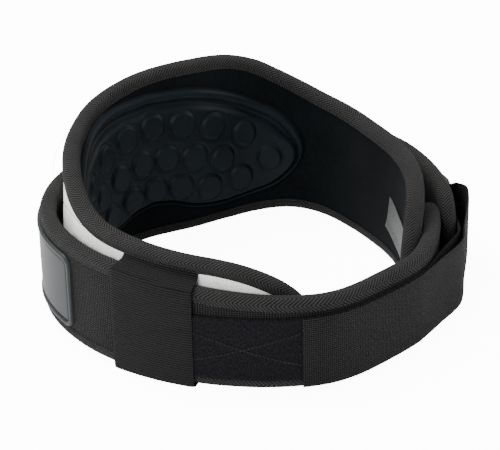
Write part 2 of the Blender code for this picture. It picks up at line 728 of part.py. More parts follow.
def make_strap(looks):
    """Pull strap: first leg on the band's right end, fold round the ring, second leg back on top of it."""
    far, near, along, outward = ring_bars()
    lift = CLOTH_GAP + 0.5 * STRAP_THICKNESS
    step = STRAP_THICKNESS + 2 * CLOTH_GAP
    leave = INNER_GIRTH + BAND_LEFT_END - STRAP_LEAVE
    tip = INNER_GIRTH + BAND_LEFT_END

    def on_band(place, level):
        return PLAN.point(place, band_base(place) + BAND_THICKNESS + lift + level * step)

    def on_end(place, more):
        left = place - INNER_GIRTH
        return PLAN.point(place, band_base(left) + BAND_THICKNESS + lift + more)

    start = KEEPER_PLACE + 0.5 * KEEPER_WIDTH - STRAP_TAIL
    first_leg = [start] + columns_between(start + NEAR_COLUMN, leave)
    path = [on_band(place, 0) for place in first_leg]
    bottoms = [strap_tail_bottom(place) for place in first_leg]
    radius = 0.5 * RING_WIRE + RING_CLEARANCE + 0.5 * STRAP_THICKNESS
    facing = math.atan2(along.y, along.x)
    turn = fold_round(near, facing - math.radians(90), facing - math.radians(90 + FOLD_TURN), radius)
    inner_side = PLAN.point(BAND_LEFT_END + RING_PLACE, 0.0)
    if (turn[0] - inner_side).length > (turn[-1] - inner_side).length:
        turn = fold_round(near, facing + math.radians(90), facing + math.radians(90 + FOLD_TURN), radius)
    rise = [on_band(leave + STRAP_RISE, 0.5), on_end(tip - STRAP_LAND, 0.0),
            on_end(tip + STRAP_RISE, STRAP_EASE), turn[0]]
    path += smooth_path([path[-1]] + rise, BRIDGE_STEPS)[1:-1]
    path += turn
    swell = [turn[-1] + outward * SWELL_NEAR + along * 2 * STRAP_EASE,
             turn[-1] + outward * SWELL_FAR + along * SWELL_LENGTH,
             on_end(tip + SWELL_NEAR, SWELL_END), on_end(tip - SWELL_LENGTH, SWELL_LAND),
             on_band(leave + STRAP_LAND, STRAP_RETURN)]
    second_leg = columns_between(STRAP_HEM + NEAR_COLUMN, leave - NEAR_COLUMN)[::-1] + [STRAP_HEM]
    back = [on_band(place, 1) for place in second_leg]
    path += smooth_path([turn[-1]] + swell + [back[0]], BRIDGE_STEPS)[1:-1]
    path += back
    bottoms += [STRAP_BOTTOM] * (len(path) - len(bottoms))
    return ribbon("strap", path, STRAP_THICKNESS, bottoms, STRAP_BOTTOM + STRAP_WIDTH, looks["strap"])


def strap_tail_bottom(place):
    """The tail that is sewn down is narrower, and widens under the second leg."""
    narrow = 1 - blend((place - STRAP_HEM - STRAP_TAIL_LEAD) / STRAP_WIDENS)
    return STRAP_BOTTOM + (STRAP_TAIL_BOTTOM - STRAP_BOTTOM) * narrow


def make_label(looks):
    work = bmesh.new()
    half = 0.5 * LABEL_LENGTH
    left, right = LABEL_PLACE - half, LABEL_PLACE + half
    places = [left] + columns_between(left + NEAR_COLUMN, right - NEAR_COLUMN) + [right]
    low, high = LABEL_MIDDLE - 0.5 * LABEL_HEIGHT, LABEL_MIDDLE + 0.5 * LABEL_HEIGHT
    rings = []
    for place in places:
        corners = [(-CLOTH_GAP, low), (-CLOTH_GAP, high), (-CLOTH_GAP - LABEL_THICKNESS, high),
                   (-CLOTH_GAP - LABEL_THICKNESS, low)]
        rings.append([work.verts.new(wall_point(place, offset, height)) for offset, height in corners])
    for first, second in zip(rings, rings[1:]):
        join_rings(work, first, second)
    work.faces.new(rings[0])
    work.faces.new(rings[-1])
    return finish_mesh("care_label", work, looks["satin"])


def make_looks():
    return {
        "lining": material("fleece_lining", (0.006, 0.008, 0.009), 0.95),
        "facing": material("silver_cloth", (0.62, 0.64, 0.60), 0.6),
        "tape": material("herringbone_tape", (0.022, 0.021, 0.019), 0.85),
        "canvas": material("canvas", (0.018, 0.018, 0.018), 0.8),
        "moulded": material("moulded_pad", (0.012, 0.017, 0.021), 0.55),
        "patch": material("rubber", (0.07, 0.08, 0.085), 0.45),
        "elastic": material("ribbed_elastic", (0.02, 0.02, 0.021), 0.8),
        "strap": material("strap_webbing", (0.03, 0.03, 0.033), 0.8),
        "webbing": material("holder_webbing", (0.035, 0.035, 0.036), 0.75),
        "ring": material("gloss_black", (0.008, 0.008, 0.009), 0.12),
        "satin": material("satin_label", (0.25, 0.26, 0.26), 0.4),
    }


def stand_on_origin():
    """Put the origin under the middle of the belt, on the surface that it stands on."""
    solids = [item for item in bpy.data.objects if item.type == "MESH"]
    corners = [vertex.co for item in solids if not item.hide_render for vertex in item.data.vertices]
    low = Vector([min(corner[k] for corner in corners) for k in range(3)])
    high = Vector([max(corner[k] for corner in corners) for k in range(3)])
    shift = Matrix.Translation((-0.5 * (low.x + high.x), -0.5 * (low.y + high.y), -low.z))
    for item in solids:
        item.data.transform(shift)


def main():
    for item in list(bpy.data.objects):
        bpy.data.objects.remove(item, do_unlink=True)
    looks = make_looks()
    make_body(looks)
    make_band(looks)
    make_pad(looks)
    make_patch(looks)
    make_keeper(looks)
    make_ring(looks)
    make_holder(looks)
    make_strap(looks)
    make_label(looks)
    stand_on_origin()


main()
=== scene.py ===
# Weightlifting belt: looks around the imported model.
#
# Metres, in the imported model's frame. Places along the belt are lengths on the body's inner face from the
# middle of the back, positive towards the wearer's right. Offsets are measured outwards from that face.

import math

import bpy
import numpy as np
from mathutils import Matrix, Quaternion, Vector


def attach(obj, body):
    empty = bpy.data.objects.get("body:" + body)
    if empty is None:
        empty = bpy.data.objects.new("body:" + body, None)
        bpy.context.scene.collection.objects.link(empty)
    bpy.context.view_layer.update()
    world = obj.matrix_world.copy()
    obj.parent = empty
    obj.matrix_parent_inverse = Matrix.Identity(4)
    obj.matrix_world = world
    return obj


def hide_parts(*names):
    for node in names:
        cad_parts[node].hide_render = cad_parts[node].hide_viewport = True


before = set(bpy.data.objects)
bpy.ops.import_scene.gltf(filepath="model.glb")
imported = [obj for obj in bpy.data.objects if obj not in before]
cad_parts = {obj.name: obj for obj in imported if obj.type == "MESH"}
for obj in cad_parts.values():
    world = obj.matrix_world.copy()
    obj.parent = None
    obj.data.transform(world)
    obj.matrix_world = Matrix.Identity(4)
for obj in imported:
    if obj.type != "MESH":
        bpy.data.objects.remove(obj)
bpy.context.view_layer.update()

# Camera and its target
VIEW_AZIMUTH = -47.0
VIEW_PITCH = 26.02
VIEW_ROLL = -1.14
VIEW_DISTANCE = 1.625
VIEW_LENS = 138.0

# The same sizes as the imported model
INNER_GIRTH = 0.902
PLAN_REACH = [0.90, 0.98, 1.02, 1.01, 1.015, 1.06, 1.115, 1.085, 1.00, 0.96, 0.965, 1.04, 0.99, 0.86]
PLAN_STEPS = 720
# The middle of the back stands this far round from the plan's first station
PLAN_START = -0.0112
ORIGIN = (-0.004568, 0.011044)
VIEW_TARGET = (-0.0162, -0.0071, 0.0688)
BODY_THICKNESS = 0.014
BAND_THICKNESS = 0.0135
LAYER_GAP = 0.0006
CLOTH_GAP = 0.0003
TAPE_REACH = 0.0105
BODY_HALF_LENGTH = 0.395
BACK_HEIGHT = 0.165
BODY_END_UPPER = 0.080
BODY_END_LOWER = 0.100
END_TIP_SHARE = 0.55
BODY_TOP = [
    (-1.00, 0.645), (-0.76, 0.675), (-0.62, 0.69), (-0.52, 0.705), (-0.44, 0.742), (-0.38, 0.803),
    (-0.325, 0.871), (-0.28, 0.928), (-0.21, 0.98), (-0.11, 1.00), (-0.02, 0.989), (0.07, 0.955),
    (0.14, 0.91), (0.19, 0.867), (0.25, 0.835), (0.33, 0.807), (0.41, 0.754), (0.48, 0.705),
    (0.56, 0.674), (0.68, 0.652), (0.84, 0.633), (1.00, 0.606),
]
ARCH_PLACE = -0.142
ARCH_LENGTH = 0.065
ARCH_HEIGHT = 0.0062
LEAN_PLACE = 0.140
LEAN_LENGTH = 0.095
LEAN_REACH = 0.0075
LEAN_HEIGHT = 0.120
BAND_RIGHT_END = 0.602
BAND_LEFT_END = -0.345
BAND_BOTTOM = 0.0019
BAND_BACK_HEIGHT = 0.0905
BAND_END_HEIGHT = 0.078
BAND_TAPER_START = 0.230
BAND_TAPER_LENGTH = 0.190
BAND_END_UPPER = 0.034
BAND_END_LOWER = 0.058
BAND_DIP = 0.005
BAND_STEP_LEAD = 0.062
BAND_STEP_LENGTH = 0.095
PAD_HALF_WIDTH = 0.154
PAD_TOP_HEIGHT = 0.145
PAD_END_UPPER = 0.034
PAD_END_LOWER = 0.040
PAD_TIP = 0.50
PAD_UPPER = [(0.0, 1.0), (0.30, 0.975), (0.53, 0.90), (0.76, 0.79), (1.0, 0.67)]
PAD_LOWER = [(0.0, 0.245), (0.12, 0.225), (0.27, 0.172), (0.455, 0.145), (0.63, 0.165), (0.80, 0.215),
             (1.0, 0.30)]
# Depth of the pad's relief at a distance from its edge, both in millimetres
PAD_RELIEF = [(0.0, 0.4), (1.0, 3.2), (2.5, 5.3), (5.0, 6.3), (7.5, 5.9), (9.5, 4.6), (11.0, 3.2), (12.8, 2.8),
              (14.3, 3.7), (16.5, 6.3), (19.0, 8.1), (22.0, 8.8), (32.0, 9.3), (60.0, 9.9)]
# The relief is squeezed this much towards the lower edge, and turns from one to the other over this height
PAD_LOWER_SQUEEZE = 3.2
PAD_TURN = 0.060
DOT_RADIUS = 0.01175
DOT_HEIGHT = 0.0022
DOT_EDGE = 0.0026
PAD_DOTS = [
    (0.0, 0.793), (0.197, 0.768), (0.395, 0.708), (0.615, 0.616),
    (0.088, 0.567), (0.265, 0.53), (0.455, 0.475), (0.782, 0.436),
    (0.0, 0.371), (0.173, 0.351), (0.357, 0.307), (0.585, 0.322),
]
PATCH_MIDDLE = 0.115
PATCH_HALF_WIDTH = 0.089
PATCH_HEIGHT = 0.066
PATCH_CORNER = 0.010
KEEPER_WIDTH = 0.063
KEEPER_PLACE = 0.2805
KEEPER_THICKNESS = 0.0016
STRAP_WIDTH = 0.0615
STRAP_THICKNESS = 0.002
STRAP_BOTTOM = 0.0052
STRAP_TAIL = 0.060
STRAP_TAIL_BOTTOM = 0.0122
STRAP_TAIL_LEAD = 0.004
STRAP_WIDENS = 0.030
STRAP_HEM = 0.384
STRAP_LEAVE = 0.055
STRAP_RISE = 0.012
STRAP_LAND = 0.006
STRAP_EASE = 0.0005
SWELL_NEAR = 0.0070
SWELL_FAR = 0.0080
SWELL_LENGTH = 0.018
SWELL_END = 0.0060
SWELL_LAND = 0.0040
STRAP_RETURN = 2.2
RING_WIRE = 0.0045
RING_LENGTH = 0.0275
RING_PLACE = 0.076
RING_STANDOFF = 0.0115
RING_CORNER = 0.004
RING_CLEARANCE = 0.0005
RING_END_ROOM = 0.0002
HOLDER_THICKNESS = 0.0016
HOLDER_WIDTH = 0.058
HOLDER_BASE = 0.045
LABEL_LENGTH = 0.045
LABEL_HEIGHT = 0.032
LABEL_PLACE = -0.299
LABEL_MIDDLE = 0.042
LABEL_TILT = 12.0
LABEL_SPREAD = 1.2

# The floor's glow as the camera sees it, and what it casts on the belt
FLOOR_GLOW_SEEN = 11.0
FLOOR_GLOW_CAST = 0.2

# How far the tapes stand proud of the faces, how much of an inset each face hides under them,
# and how far the stitches lie from the tape's edge
BODY_TAPE_PROUD = 0.0007
BAND_TAPE_PROUD = 0.0004
HIDDEN_EDGE = TAPE_REACH - 0.0016
STITCH_INSET = TAPE_REACH - 0.0019

# Lights as name, place, size and power
LAMPS = [("key", (-0.2, 0.9, 1.7), 1.2, 62.0), ("fill", (-1.8, -0.5, 1.0), 1.0, 40.0),
         ("side", (1.6, -0.9, 0.9), 0.9, 22.0)]
WORLD_LIGHT = 0.7


# Curves
def table_curve(rows):
    """Smooth curve through the rows of a table, as a function of one or many places."""
    xs = np.array([row[0] for row in rows])
    ys = np.array([row[1] for row in rows])
    last = len(xs) - 1
    slopes = np.array([(ys[min(i + 1, last)] - ys[max(i - 1, 0)]) / (xs[min(i + 1, last)] - xs[max(i - 1, 0)])
                       for i in range(last + 1)])

    def value(place):
        place = np.clip(np.asarray(place, float), xs[0], xs[-1])
        index = np.clip(np.searchsorted(xs, place, side="right") - 1, 0, last - 1)
        span = xs[index + 1] - xs[index]
        t = (place - xs[index]) / span
        return (ys[index] * (1 + 2 * t) * (1 - t) ** 2 + span * slopes[index] * t * (1 - t) ** 2
                + ys[index + 1] * t * t * (3 - 2 * t) + span * slopes[index + 1] * t * t * (t - 1))

    return value


def blend(value):
    value = np.clip(value, 0.0, 1.0)
    return value * value * (3 - 2 * value)


def plan_curve():
    """Points, places and outward directions of the inner face seen from above."""
    turn = np.arange(PLAN_STEPS) / PLAN_STEPS
    values = np.array(PLAN_REACH)
    position = turn * len(values)
    index = position.astype(int)
    t = position - index
    p0, p1, p2, p3 = (values[(index + k) % len(values)] for k in (-1, 0, 1, 2))
    reach = 0.5 * (2 * p1 + (p2 - p0) * t + (2 * p0 - 5 * p1 + 4 * p2 - p3) * t * t
                   + (3 * p1 - p0 - 3 * p2 + p3) * t ** 3)
    angle = 0.5 * math.pi + 2 * math.pi * turn
    raw = np.stack([np.cos(angle), np.sin(angle)], -1) * reach[:, None]
    raw *= INNER_GIRTH / np.linalg.norm(raw - np.roll(raw, 1, 0), axis=1).sum()
    places = np.r_[0.0, np.cumsum(np.linalg.norm(raw[1:] - raw[:-1], axis=1)), INNER_GIRTH]
    along = np.roll(raw, -3, 0) - np.roll(raw, 3, 0)
    along /= np.linalg.norm(along, axis=1)[:, None]
    outward = np.stack([along[:, 1], -along[:, 0]], -1)
    return places, np.r_[raw, raw[:1]], np.r_[outward, outward[:1]]


PLACES, POINTS, OUTWARD = plan_curve()


def outward_at(place):
    wrapped = np.mod(place + PLAN_START, INNER_GIRTH)
    found = np.stack([np.interp(wrapped, PLACES, OUTWARD[:, k]) for k in (0, 1)], -1)
    return found / np.linalg.norm(found, axis=-1)[..., None]


def plan_at(place, offset):
    wrapped = np.mod(place + PLAN_START, INNER_GIRTH)
    found = np.stack([np.interp(wrapped, PLACES, POINTS[:, k]) for k in (0, 1)], -1)
    return found + outward_at(place) * np.asarray(offset)[..., None] + np.array(ORIGIN)


def lean(place, height):
    """Distance that the body leans inwards at a height."""
    return LEAN_REACH * blend(1 - np.abs(place - LEAN_PLACE) / LEAN_LENGTH) * height / LEAN_HEIGHT


def spot(place, offset, height, leans=False):
    place, offset, height = np.broadcast_arrays(place, offset, height)
    if leans:
        offset = offset - lean(place, height)
    return np.concatenate([plan_at(place, offset), height[..., None]], -1)


def flat_base(place):
    return np.zeros_like(np.asarray(place, float))


def band_base(place):
    """The band lies on the body, dips where the body ends and steps out over its own right end."""
    place = np.asarray(place, float)
    gap_start = BODY_HALF_LENGTH + LAYER_GAP
    gap_end = INNER_GIRTH - BODY_HALF_LENGTH - LAYER_GAP
    share = np.clip((place - gap_start) / (gap_end - gap_start), 0.0, 1.0)
    step_end = BAND_RIGHT_END - INNER_GIRTH + BAND_STEP_LEAD
    step = (BAND_THICKNESS + LAYER_GAP) * blend((step_end + BAND_STEP_LENGTH - place) / BAND_STEP_LENGTH)
    return BODY_THICKNESS + LAYER_GAP - BAND_DIP * np.sin(math.pi * share) ** 2 + step


body_curve = table_curve(BODY_TOP)
pad_upper_curve = table_curve(PAD_UPPER)
pad_lower_curve = table_curve(PAD_LOWER)
pad_relief = table_curve(PAD_RELIEF)


def body_top(place):
    return BACK_HEIGHT * body_curve(np.asarray(place) / BODY_HALF_LENGTH)


def body_bottom(place):
    return ARCH_HEIGHT * blend(1 - np.abs(np.asarray(place) - ARCH_PLACE) / ARCH_LENGTH)


def band_bottom(place):
    return np.full_like(np.asarray(place, float), BAND_BOTTOM)


def band_top(place):
    taper = blend((np.abs(place) - BAND_TAPER_START) / BAND_TAPER_LENGTH)
    return BAND_BOTTOM + BAND_BACK_HEIGHT + (BAND_END_HEIGHT - BAND_BACK_HEIGHT) * taper


def pad_top(place):
    return PAD_TOP_HEIGHT * pad_upper_curve(np.abs(place) / PAD_HALF_WIDTH)


def pad_bottom(place):
    return PAD_TOP_HEIGHT * pad_lower_curve(np.abs(place) / PAD_HALF_WIDTH)


def wander(place, seed, size):
    """Small smooth irregularity along a length, the same every run."""
    total = np.zeros_like(np.asarray(place, float))
    for k, (length, share) in enumerate(((0.173, 0.45), (0.071, 0.35), (0.029, 0.2))):
        total = total + share * np.sin(2 * math.pi * np.asarray(place) / length + seed * (k + 1.7))
    return size * total


class Outline:
    """Closed loop of (place, height) points evenly spaced round a piece with rounded ends."""

    def __init__(self, left, right, top, bottom, upper, lower, tip_share, step=0.002, leans=False):
        self.left, self.right, self.leans = left, right, leans
        angle = np.linspace(0.0, 0.5 * math.pi, 30)

        def row(edge, other, reach, share):
            sides = []
            for end in (left, right):
                inwards = 1 if end == left else -1
                tall = share * abs(float(edge(end)) - float(other(end)))
                place = end + inwards * reach * (1 - np.cos(angle))
                drop = tall * (1 - np.sin(angle))
                sides.append((place, drop))
            middle = np.linspace(left + reach, right - reach, 400)[1:-1]
            place = np.r_[sides[0][0], middle, sides[1][0][::-1]]
            drop = np.r_[sides[0][1], np.zeros(len(middle)), sides[1][1][::-1]]
            sign = 1 if float(edge(0.5 * (left + right))) > float(other(0.5 * (left + right))) else -1
            return np.stack([place, edge(place) - sign * drop], -1)

        above = row(top, bottom, upper, 1 - tip_share)
        below = row(bottom, top, lower, tip_share)
        self.keep(np.r_[above, below[::-1][1:-1]], step)

    def keep(self, loop, step):
        """Evenly spaced points of a loop, with their normals and the lengths between them."""
        self.points = resample_loop(loop, step)
        ahead = np.roll(self.points, -1, 0) - np.roll(self.points, 1, 0)
        ahead /= np.linalg.norm(ahead, axis=1)[:, None]
        self.normals = np.stack([-ahead[:, 1], ahead[:, 0]], -1)
        steps = np.linalg.norm(np.roll(self.points, -1, 0) - self.points, axis=1)
        self.lengths = np.r_[0.0, np.cumsum(steps)]

    def inset(self, distance):
        distance = np.broadcast_to(distance, (len(self.points),))
        return self.points - self.normals * distance[:, None]

    def rows(self, distance, places):
        """Heights of the inset loop's upper and lower side at these places."""
        loop = self.inset(distance)
        first, last = loop[:, 0].argmin(), loop[:, 0].argmax()
        rolled = np.roll(loop, -first, 0)
        turn = (last - first) % len(loop)
        upper, lower = rolled[:turn + 1], np.r_[rolled[turn:], rolled[:1]][::-1]
        upper = upper[np.argsort(upper[:, 0])]
        lower = lower[np.argsort(lower[:, 0])]
        return (np.interp(places, upper[:, 0], upper[:, 1]), np.interp(places, lower[:, 0], lower[:, 1]),
                loop[first, 0], loop[last, 0])

    def distance(self, place, height):
        """Distance from points to the loop, for points inside it."""
        flat_place, flat_height = np.ravel(place), np.ravel(height)
        start, end = self.points, np.roll(self.points, -1, 0)
        run = end - start
        best = np.full(len(flat_place), 1.0)
        for chunk in range(0, len(flat_place), 4000):
            px = flat_place[chunk:chunk + 4000, None] - start[None, :, 0]
            py = flat_height[chunk:chunk + 4000, None] - start[None, :, 1]
            share = np.clip((px * run[:, 0] + py * run[:, 1]) / (run ** 2).sum(1), 0.0, 1.0)
            best[chunk:chunk + 4000] = np.sqrt(((px - share * run[:, 0]) ** 2
                                                + (py - share * run[:, 1]) ** 2).min(1))
        return best.reshape(np.shape(place))


def resample_loop(loop, step):
    closed = np.r_[loop, loop[:1]]
    lengths = np.r_[0.0, np.cumsum(np.linalg.norm(np.diff(closed, axis=0), axis=1))]
    count = int(round(lengths[-1] / step))
    wanted = np.arange(count) * lengths[-1] / count
    return np.stack([np.interp(wanted, lengths, closed[:, k]) for k in (0, 1)], -1)


def resample_path(path, step):
    lengths = np.r_[0.0, np.cumsum(np.linalg.norm(np.diff(path, axis=0), axis=1))]
    wanted = np.linspace(0.0, lengths[-1], int(round(lengths[-1] / step)) + 1)
    return np.stack([np.interp(wanted, lengths, path[:, k]) for k in range(path.shape[1])], -1), wanted


def smooth_path(points, steps):
    points = [np.asarray(point, float) for point in points]
    made = []
    for i in range(len(points) - 1):
        p0, p1 = points[max(i - 1, 0)], points[i]
        p2, p3 = points[i + 1], points[min(i + 2, len(points) - 1)]
        for step in range(steps):
            t = step / steps
            made.append(0.5 * (2 * p1 + (p2 - p0) * t + (2 * p0 - 5 * p1 + 4 * p2 - p3) * t * t
                               + (3 * p1 - p0 - 3 * p2 + p3) * t ** 3))
    return made + [points[-1]]


# Meshes
def add_mesh(name, points, faces, uv, look, sharp=50.0):
    mesh = bpy.data.meshes.new(name)
    volume = 0.0
    for picked in ([0, 1, 2], [0, 2, 3]):
        corners = points[faces[:, picked]]
        volume += np.einsum("ij,ij->i", corners[:, 0], np.cross(corners[:, 1], corners[:, 2])).sum()
    if volume < 0:
        faces, uv = faces[:, ::-1], uv[:, ::-1]
    mesh.from_pydata(points.tolist(), [], faces.tolist())
    layer = mesh.uv_layers.new(name="UVMap")
    layer.data.foreach_set("uv", uv.reshape(-1).astype(np.float32))
    mesh.polygons.foreach_set("use_smooth", np.ones(len(faces), bool))
    mesh.update()
    mesh.set_sharp_from_angle(angle=math.radians(sharp))
    made = bpy.data.objects.new(name, mesh)
    bpy.context.scene.collection.objects.link(made)
    mesh.materials.append(look)
    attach(made, "root")
    return made


def surface(name, grid, along, across, look, close_u=False, close_v=False, caps=False, sharp=50.0):
    """Quads over a grid of points. along and across are the grid's own lengths in metres, for the weave."""
    nu, nv = grid.shape[:2]
    rows, columns = nu if close_u else nu - 1, nv if close_v else nv - 1
    i, j = np.meshgrid(np.arange(rows), np.arange(columns), indexing="ij")
    i, j = i.ravel(), j.ravel()
    i2, j2 = (i + 1) % nu, (j + 1) % nv
    faces = np.stack([i * nv + j, i2 * nv + j, i2 * nv + j2, i * nv + j2], -1)
    across = np.broadcast_to(across, (nu + 1, nv + 1)) if np.ndim(across) == 1 else across
    along = np.broadcast_to(along[:, None], (nu + 1, nv + 1)) if np.ndim(along) == 1 else along
    uv = np.stack([np.stack([along[i + a, j + b], across[i + a, j + b]], -1)
                   for a, b in ((0, 0), (1, 0), (1, 1), (0, 1))], 1)
    if caps:
        k = np.arange(nv // 2 - 1)
        for row, column in ((0, 0), (nu - 1, nu - 1)):
            base = row * nv
            side = np.stack([base + k, base + k + 1, base + nv - 2 - k, base + nv - 1 - k], -1)
            if row == 0:
                side = side[:, ::-1]
            faces = np.r_[faces, side]
            uv = np.r_[uv, np.stack([np.stack([along[row, side[:, c] % nv], across[row, side[:, c] % nv]], -1)
                                     for c in range(4)], 1)]
    return add_mesh(name, grid.reshape(-1, 3), faces, uv, look, sharp)


def edging(name, outline, base, section, look, seed=1.0, closed=True):
    """Tape rolled over an edge: a section of (inset, offset) rows run round the outline."""
    grid = []
    for inset, offset in section:
        rough = wander(outline.lengths[:-1], seed + inset * 300, 0.00022)
        loop = outline.inset(inset + rough * (inset / TAPE_REACH))
        lift = wander(outline.lengths[:-1], seed * 2 + offset * 200, 0.00012)
        grid.append(spot(loop[:, 0], base(loop[:, 0]) + offset + lift, loop[:, 1], outline.leans))
    grid = np.stack(grid, 1)
    steps = [0.0]
    for (a0, b0), (a1, b1) in zip(section, section[1:] + section[:1]):
        steps.append(steps[-1] + math.hypot(a1 - a0, b1 - b0))
    return surface(name, grid, outline.lengths, np.array(steps), look, close_u=True, close_v=closed, sharp=60.0)


def tape_rows(thickness, proud, roll):
    """Section of the visible tape, inner side first: its cut edge, its stitched dent and its roll."""
    rows = [(TAPE_REACH, 0.0012), (TAPE_REACH + 0.0001, 0.0001 - proud), (TAPE_REACH - 0.0007, -proud),
            (TAPE_REACH - 0.0014, -proud * 0.55), (TAPE_REACH - 0.0019, -proud * 0.35),
            (TAPE_REACH - 0.0024, -proud * 0.55), (TAPE_REACH - 0.0033, -proud)]
    bulge = 0.5 * thickness + proud
    for k in range(13):
        angle = math.pi * (k / 12 - 0.5)
        rows.append((roll - roll * math.cos(angle) ** 0.9, 0.5 * thickness + bulge * math.sin(angle)))
    other = [(inset, thickness - offset) for inset, offset in rows[:7]]
    return rows + other[::-1]


def slab(name, outline, distance, front, back, look, columns=420, levels=26, seed=1.0):
    """Closed padded piece between two faces whose offsets are functions of place, height and edge distance."""
    _, _, left, right = outline.rows(distance, np.array([0.0]))
    turn = np.linspace(0.0, 1.0, columns)
    ease = 0.5 * (1 - np.cos(math.pi * turn))
    places = left + (right - left) * (0.75 * turn + 0.25 * ease)
    upper, lower, _, _ = outline.rows(distance, places)
    share = np.linspace(0.0, 1.0, levels)
    share = 0.6 * share + 0.4 * 0.5 * (1 - np.cos(math.pi * share))
    place = np.broadcast_to(places[:, None], (columns, levels))
    height = lower[:, None] + (upper - lower)[:, None] * share[None]
    edge = outline.distance(place, height)
    near = spot(place, front(place, height, edge), height, outline.leans)
    far = spot(place, back(place, height, edge), height, outline.leans)
    grid = np.concatenate([near, far[:, ::-1]], 1)
    along = np.r_[places, places[-1:]]
    across = np.concatenate([height, height[:, ::-1]], 1)
    across = np.concatenate([across, across[:, :1]], 1)
    across = np.concatenate([across, across[-1:]], 0)
    return surface(name, grid, along, across, look, close_v=True, caps=True, sharp=40.0)


def ribbon(name, path, width, thickness, bottom, look, levels=14, extra=None, narrow=None, edge=0.0007):
    """Webbing standing on edge along a plan path, with rounded selvedges.

    extra(length) thickens its outer side and narrow(length) lifts its lower edge.
    """
    path, lengths = resample_path(np.asarray(path), 0.0015)
    ahead = np.gradient(path, axis=0)
    ahead /= np.linalg.norm(ahead, axis=1)[:, None]
    side = np.stack([ahead[:, 1], -ahead[:, 0]], -1)
    half = 0.5 * thickness
    share = np.linspace(0.0, 1.0, levels)
    round_in = np.array([0.35, 0.8] + [1.0] * (levels - 4) + [0.8, 0.35])
    eased = 0.65 * share + 0.35 * 0.5 * (1 - np.cos(math.pi * share))
    height = bottom + edge * 0.4 + (width - edge * 0.8) * eased
    more = np.zeros(len(path)) if extra is None else extra(lengths)
    lift = np.zeros(len(path)) if narrow is None else narrow(lengths)
    grid = []
    for sign, order in ((1, slice(None)), (-1, slice(None, None, -1))):
        for level, up in zip(round_in[order], height[order]):
            out = sign * half * level + (more * level if sign > 0 else 0.0)
            flat = path + side * np.broadcast_to(out, (len(path),))[:, None]
            grid.append(np.c_[flat, up + lift * (bottom + width - up) / width])
    grid = np.stack(grid, 1)
    along = np.r_[lengths, lengths[-1]]
    across = np.r_[height, height[::-1], height[0]]
    return surface(name, grid, along, across, look, close_v=True, caps=True, sharp=60.0), path, side, lengths


def stitch_row(path, outwards, pitch, gap=0.28, radius=0.00028, sink=0.35):
    """Points and faces of a row of thread stitches along a path on a surface."""
    lengths = np.r_[0.0, np.cumsum(np.linalg.norm(np.diff(path, axis=0), axis=1))]
    count = max(1, int(lengths[-1] / pitch))
    starts = (np.arange(count) + 0.5 * gap) * lengths[-1] / count
    long = (1 - gap) * lengths[-1] / count
    points, faces = [], []
    for share, size in ((0.0, 0.15), (0.25, 1.0), (0.75, 1.0), (1.0, 0.15)):
        at = starts + share * long
        middle = np.stack([np.interp(at, lengths, path[:, k]) for k in range(3)], -1)
        out = np.stack([np.interp(at, lengths, outwards[:, k]) for k in range(3)], -1)
        out /= np.linalg.norm(out, axis=1)[:, None]
        ahead = np.stack([np.interp(at + 1e-4, lengths, path[:, k]) - np.interp(at - 1e-4, lengths, path[:, k])
                          for k in range(3)], -1)
        ahead /= np.maximum(np.linalg.norm(ahead, axis=1)[:, None], 1e-9)
        across = np.cross(ahead, out)
        raised = middle + out * radius * (1 - sink - (1 - size) * 0.9)
        for turn in range(5):
            angle = 2 * math.pi * turn / 5
            points.append(raised + (across * math.cos(angle) + out * math.sin(angle)) * radius * size)
    points = np.stack(points, 1).reshape(-1, 3)
    base = np.arange(count)[:, None] * 20
    for ring in range(3):
        for turn in range(5):
            other = (turn + 1) % 5
            faces.append(base + np.array([ring * 5 + turn, ring * 5 + other, ring * 5 + 5 + other,
                                          ring * 5 + 5 + turn]))
    return points, np.concatenate(faces, 0)


def stitches(name, rows, look):
    """One object for several rows of stitches."""
    points, faces, count = [], [], 0
    for row_points, row_faces in rows:
        points.append(row_points)
        faces.append(row_faces + count)
        count += len(row_points)
    points, faces = np.concatenate(points), np.concatenate(faces)
    uv = np.zeros((len(faces), 4, 2))
    return add_mesh(name, points, faces, uv, look, sharp=80.0)


# Materials
# Share of their written colours that the black cloths keep under these lights
BLACK_TONE = 0.32
TAPE_CHEVRON = 6.5


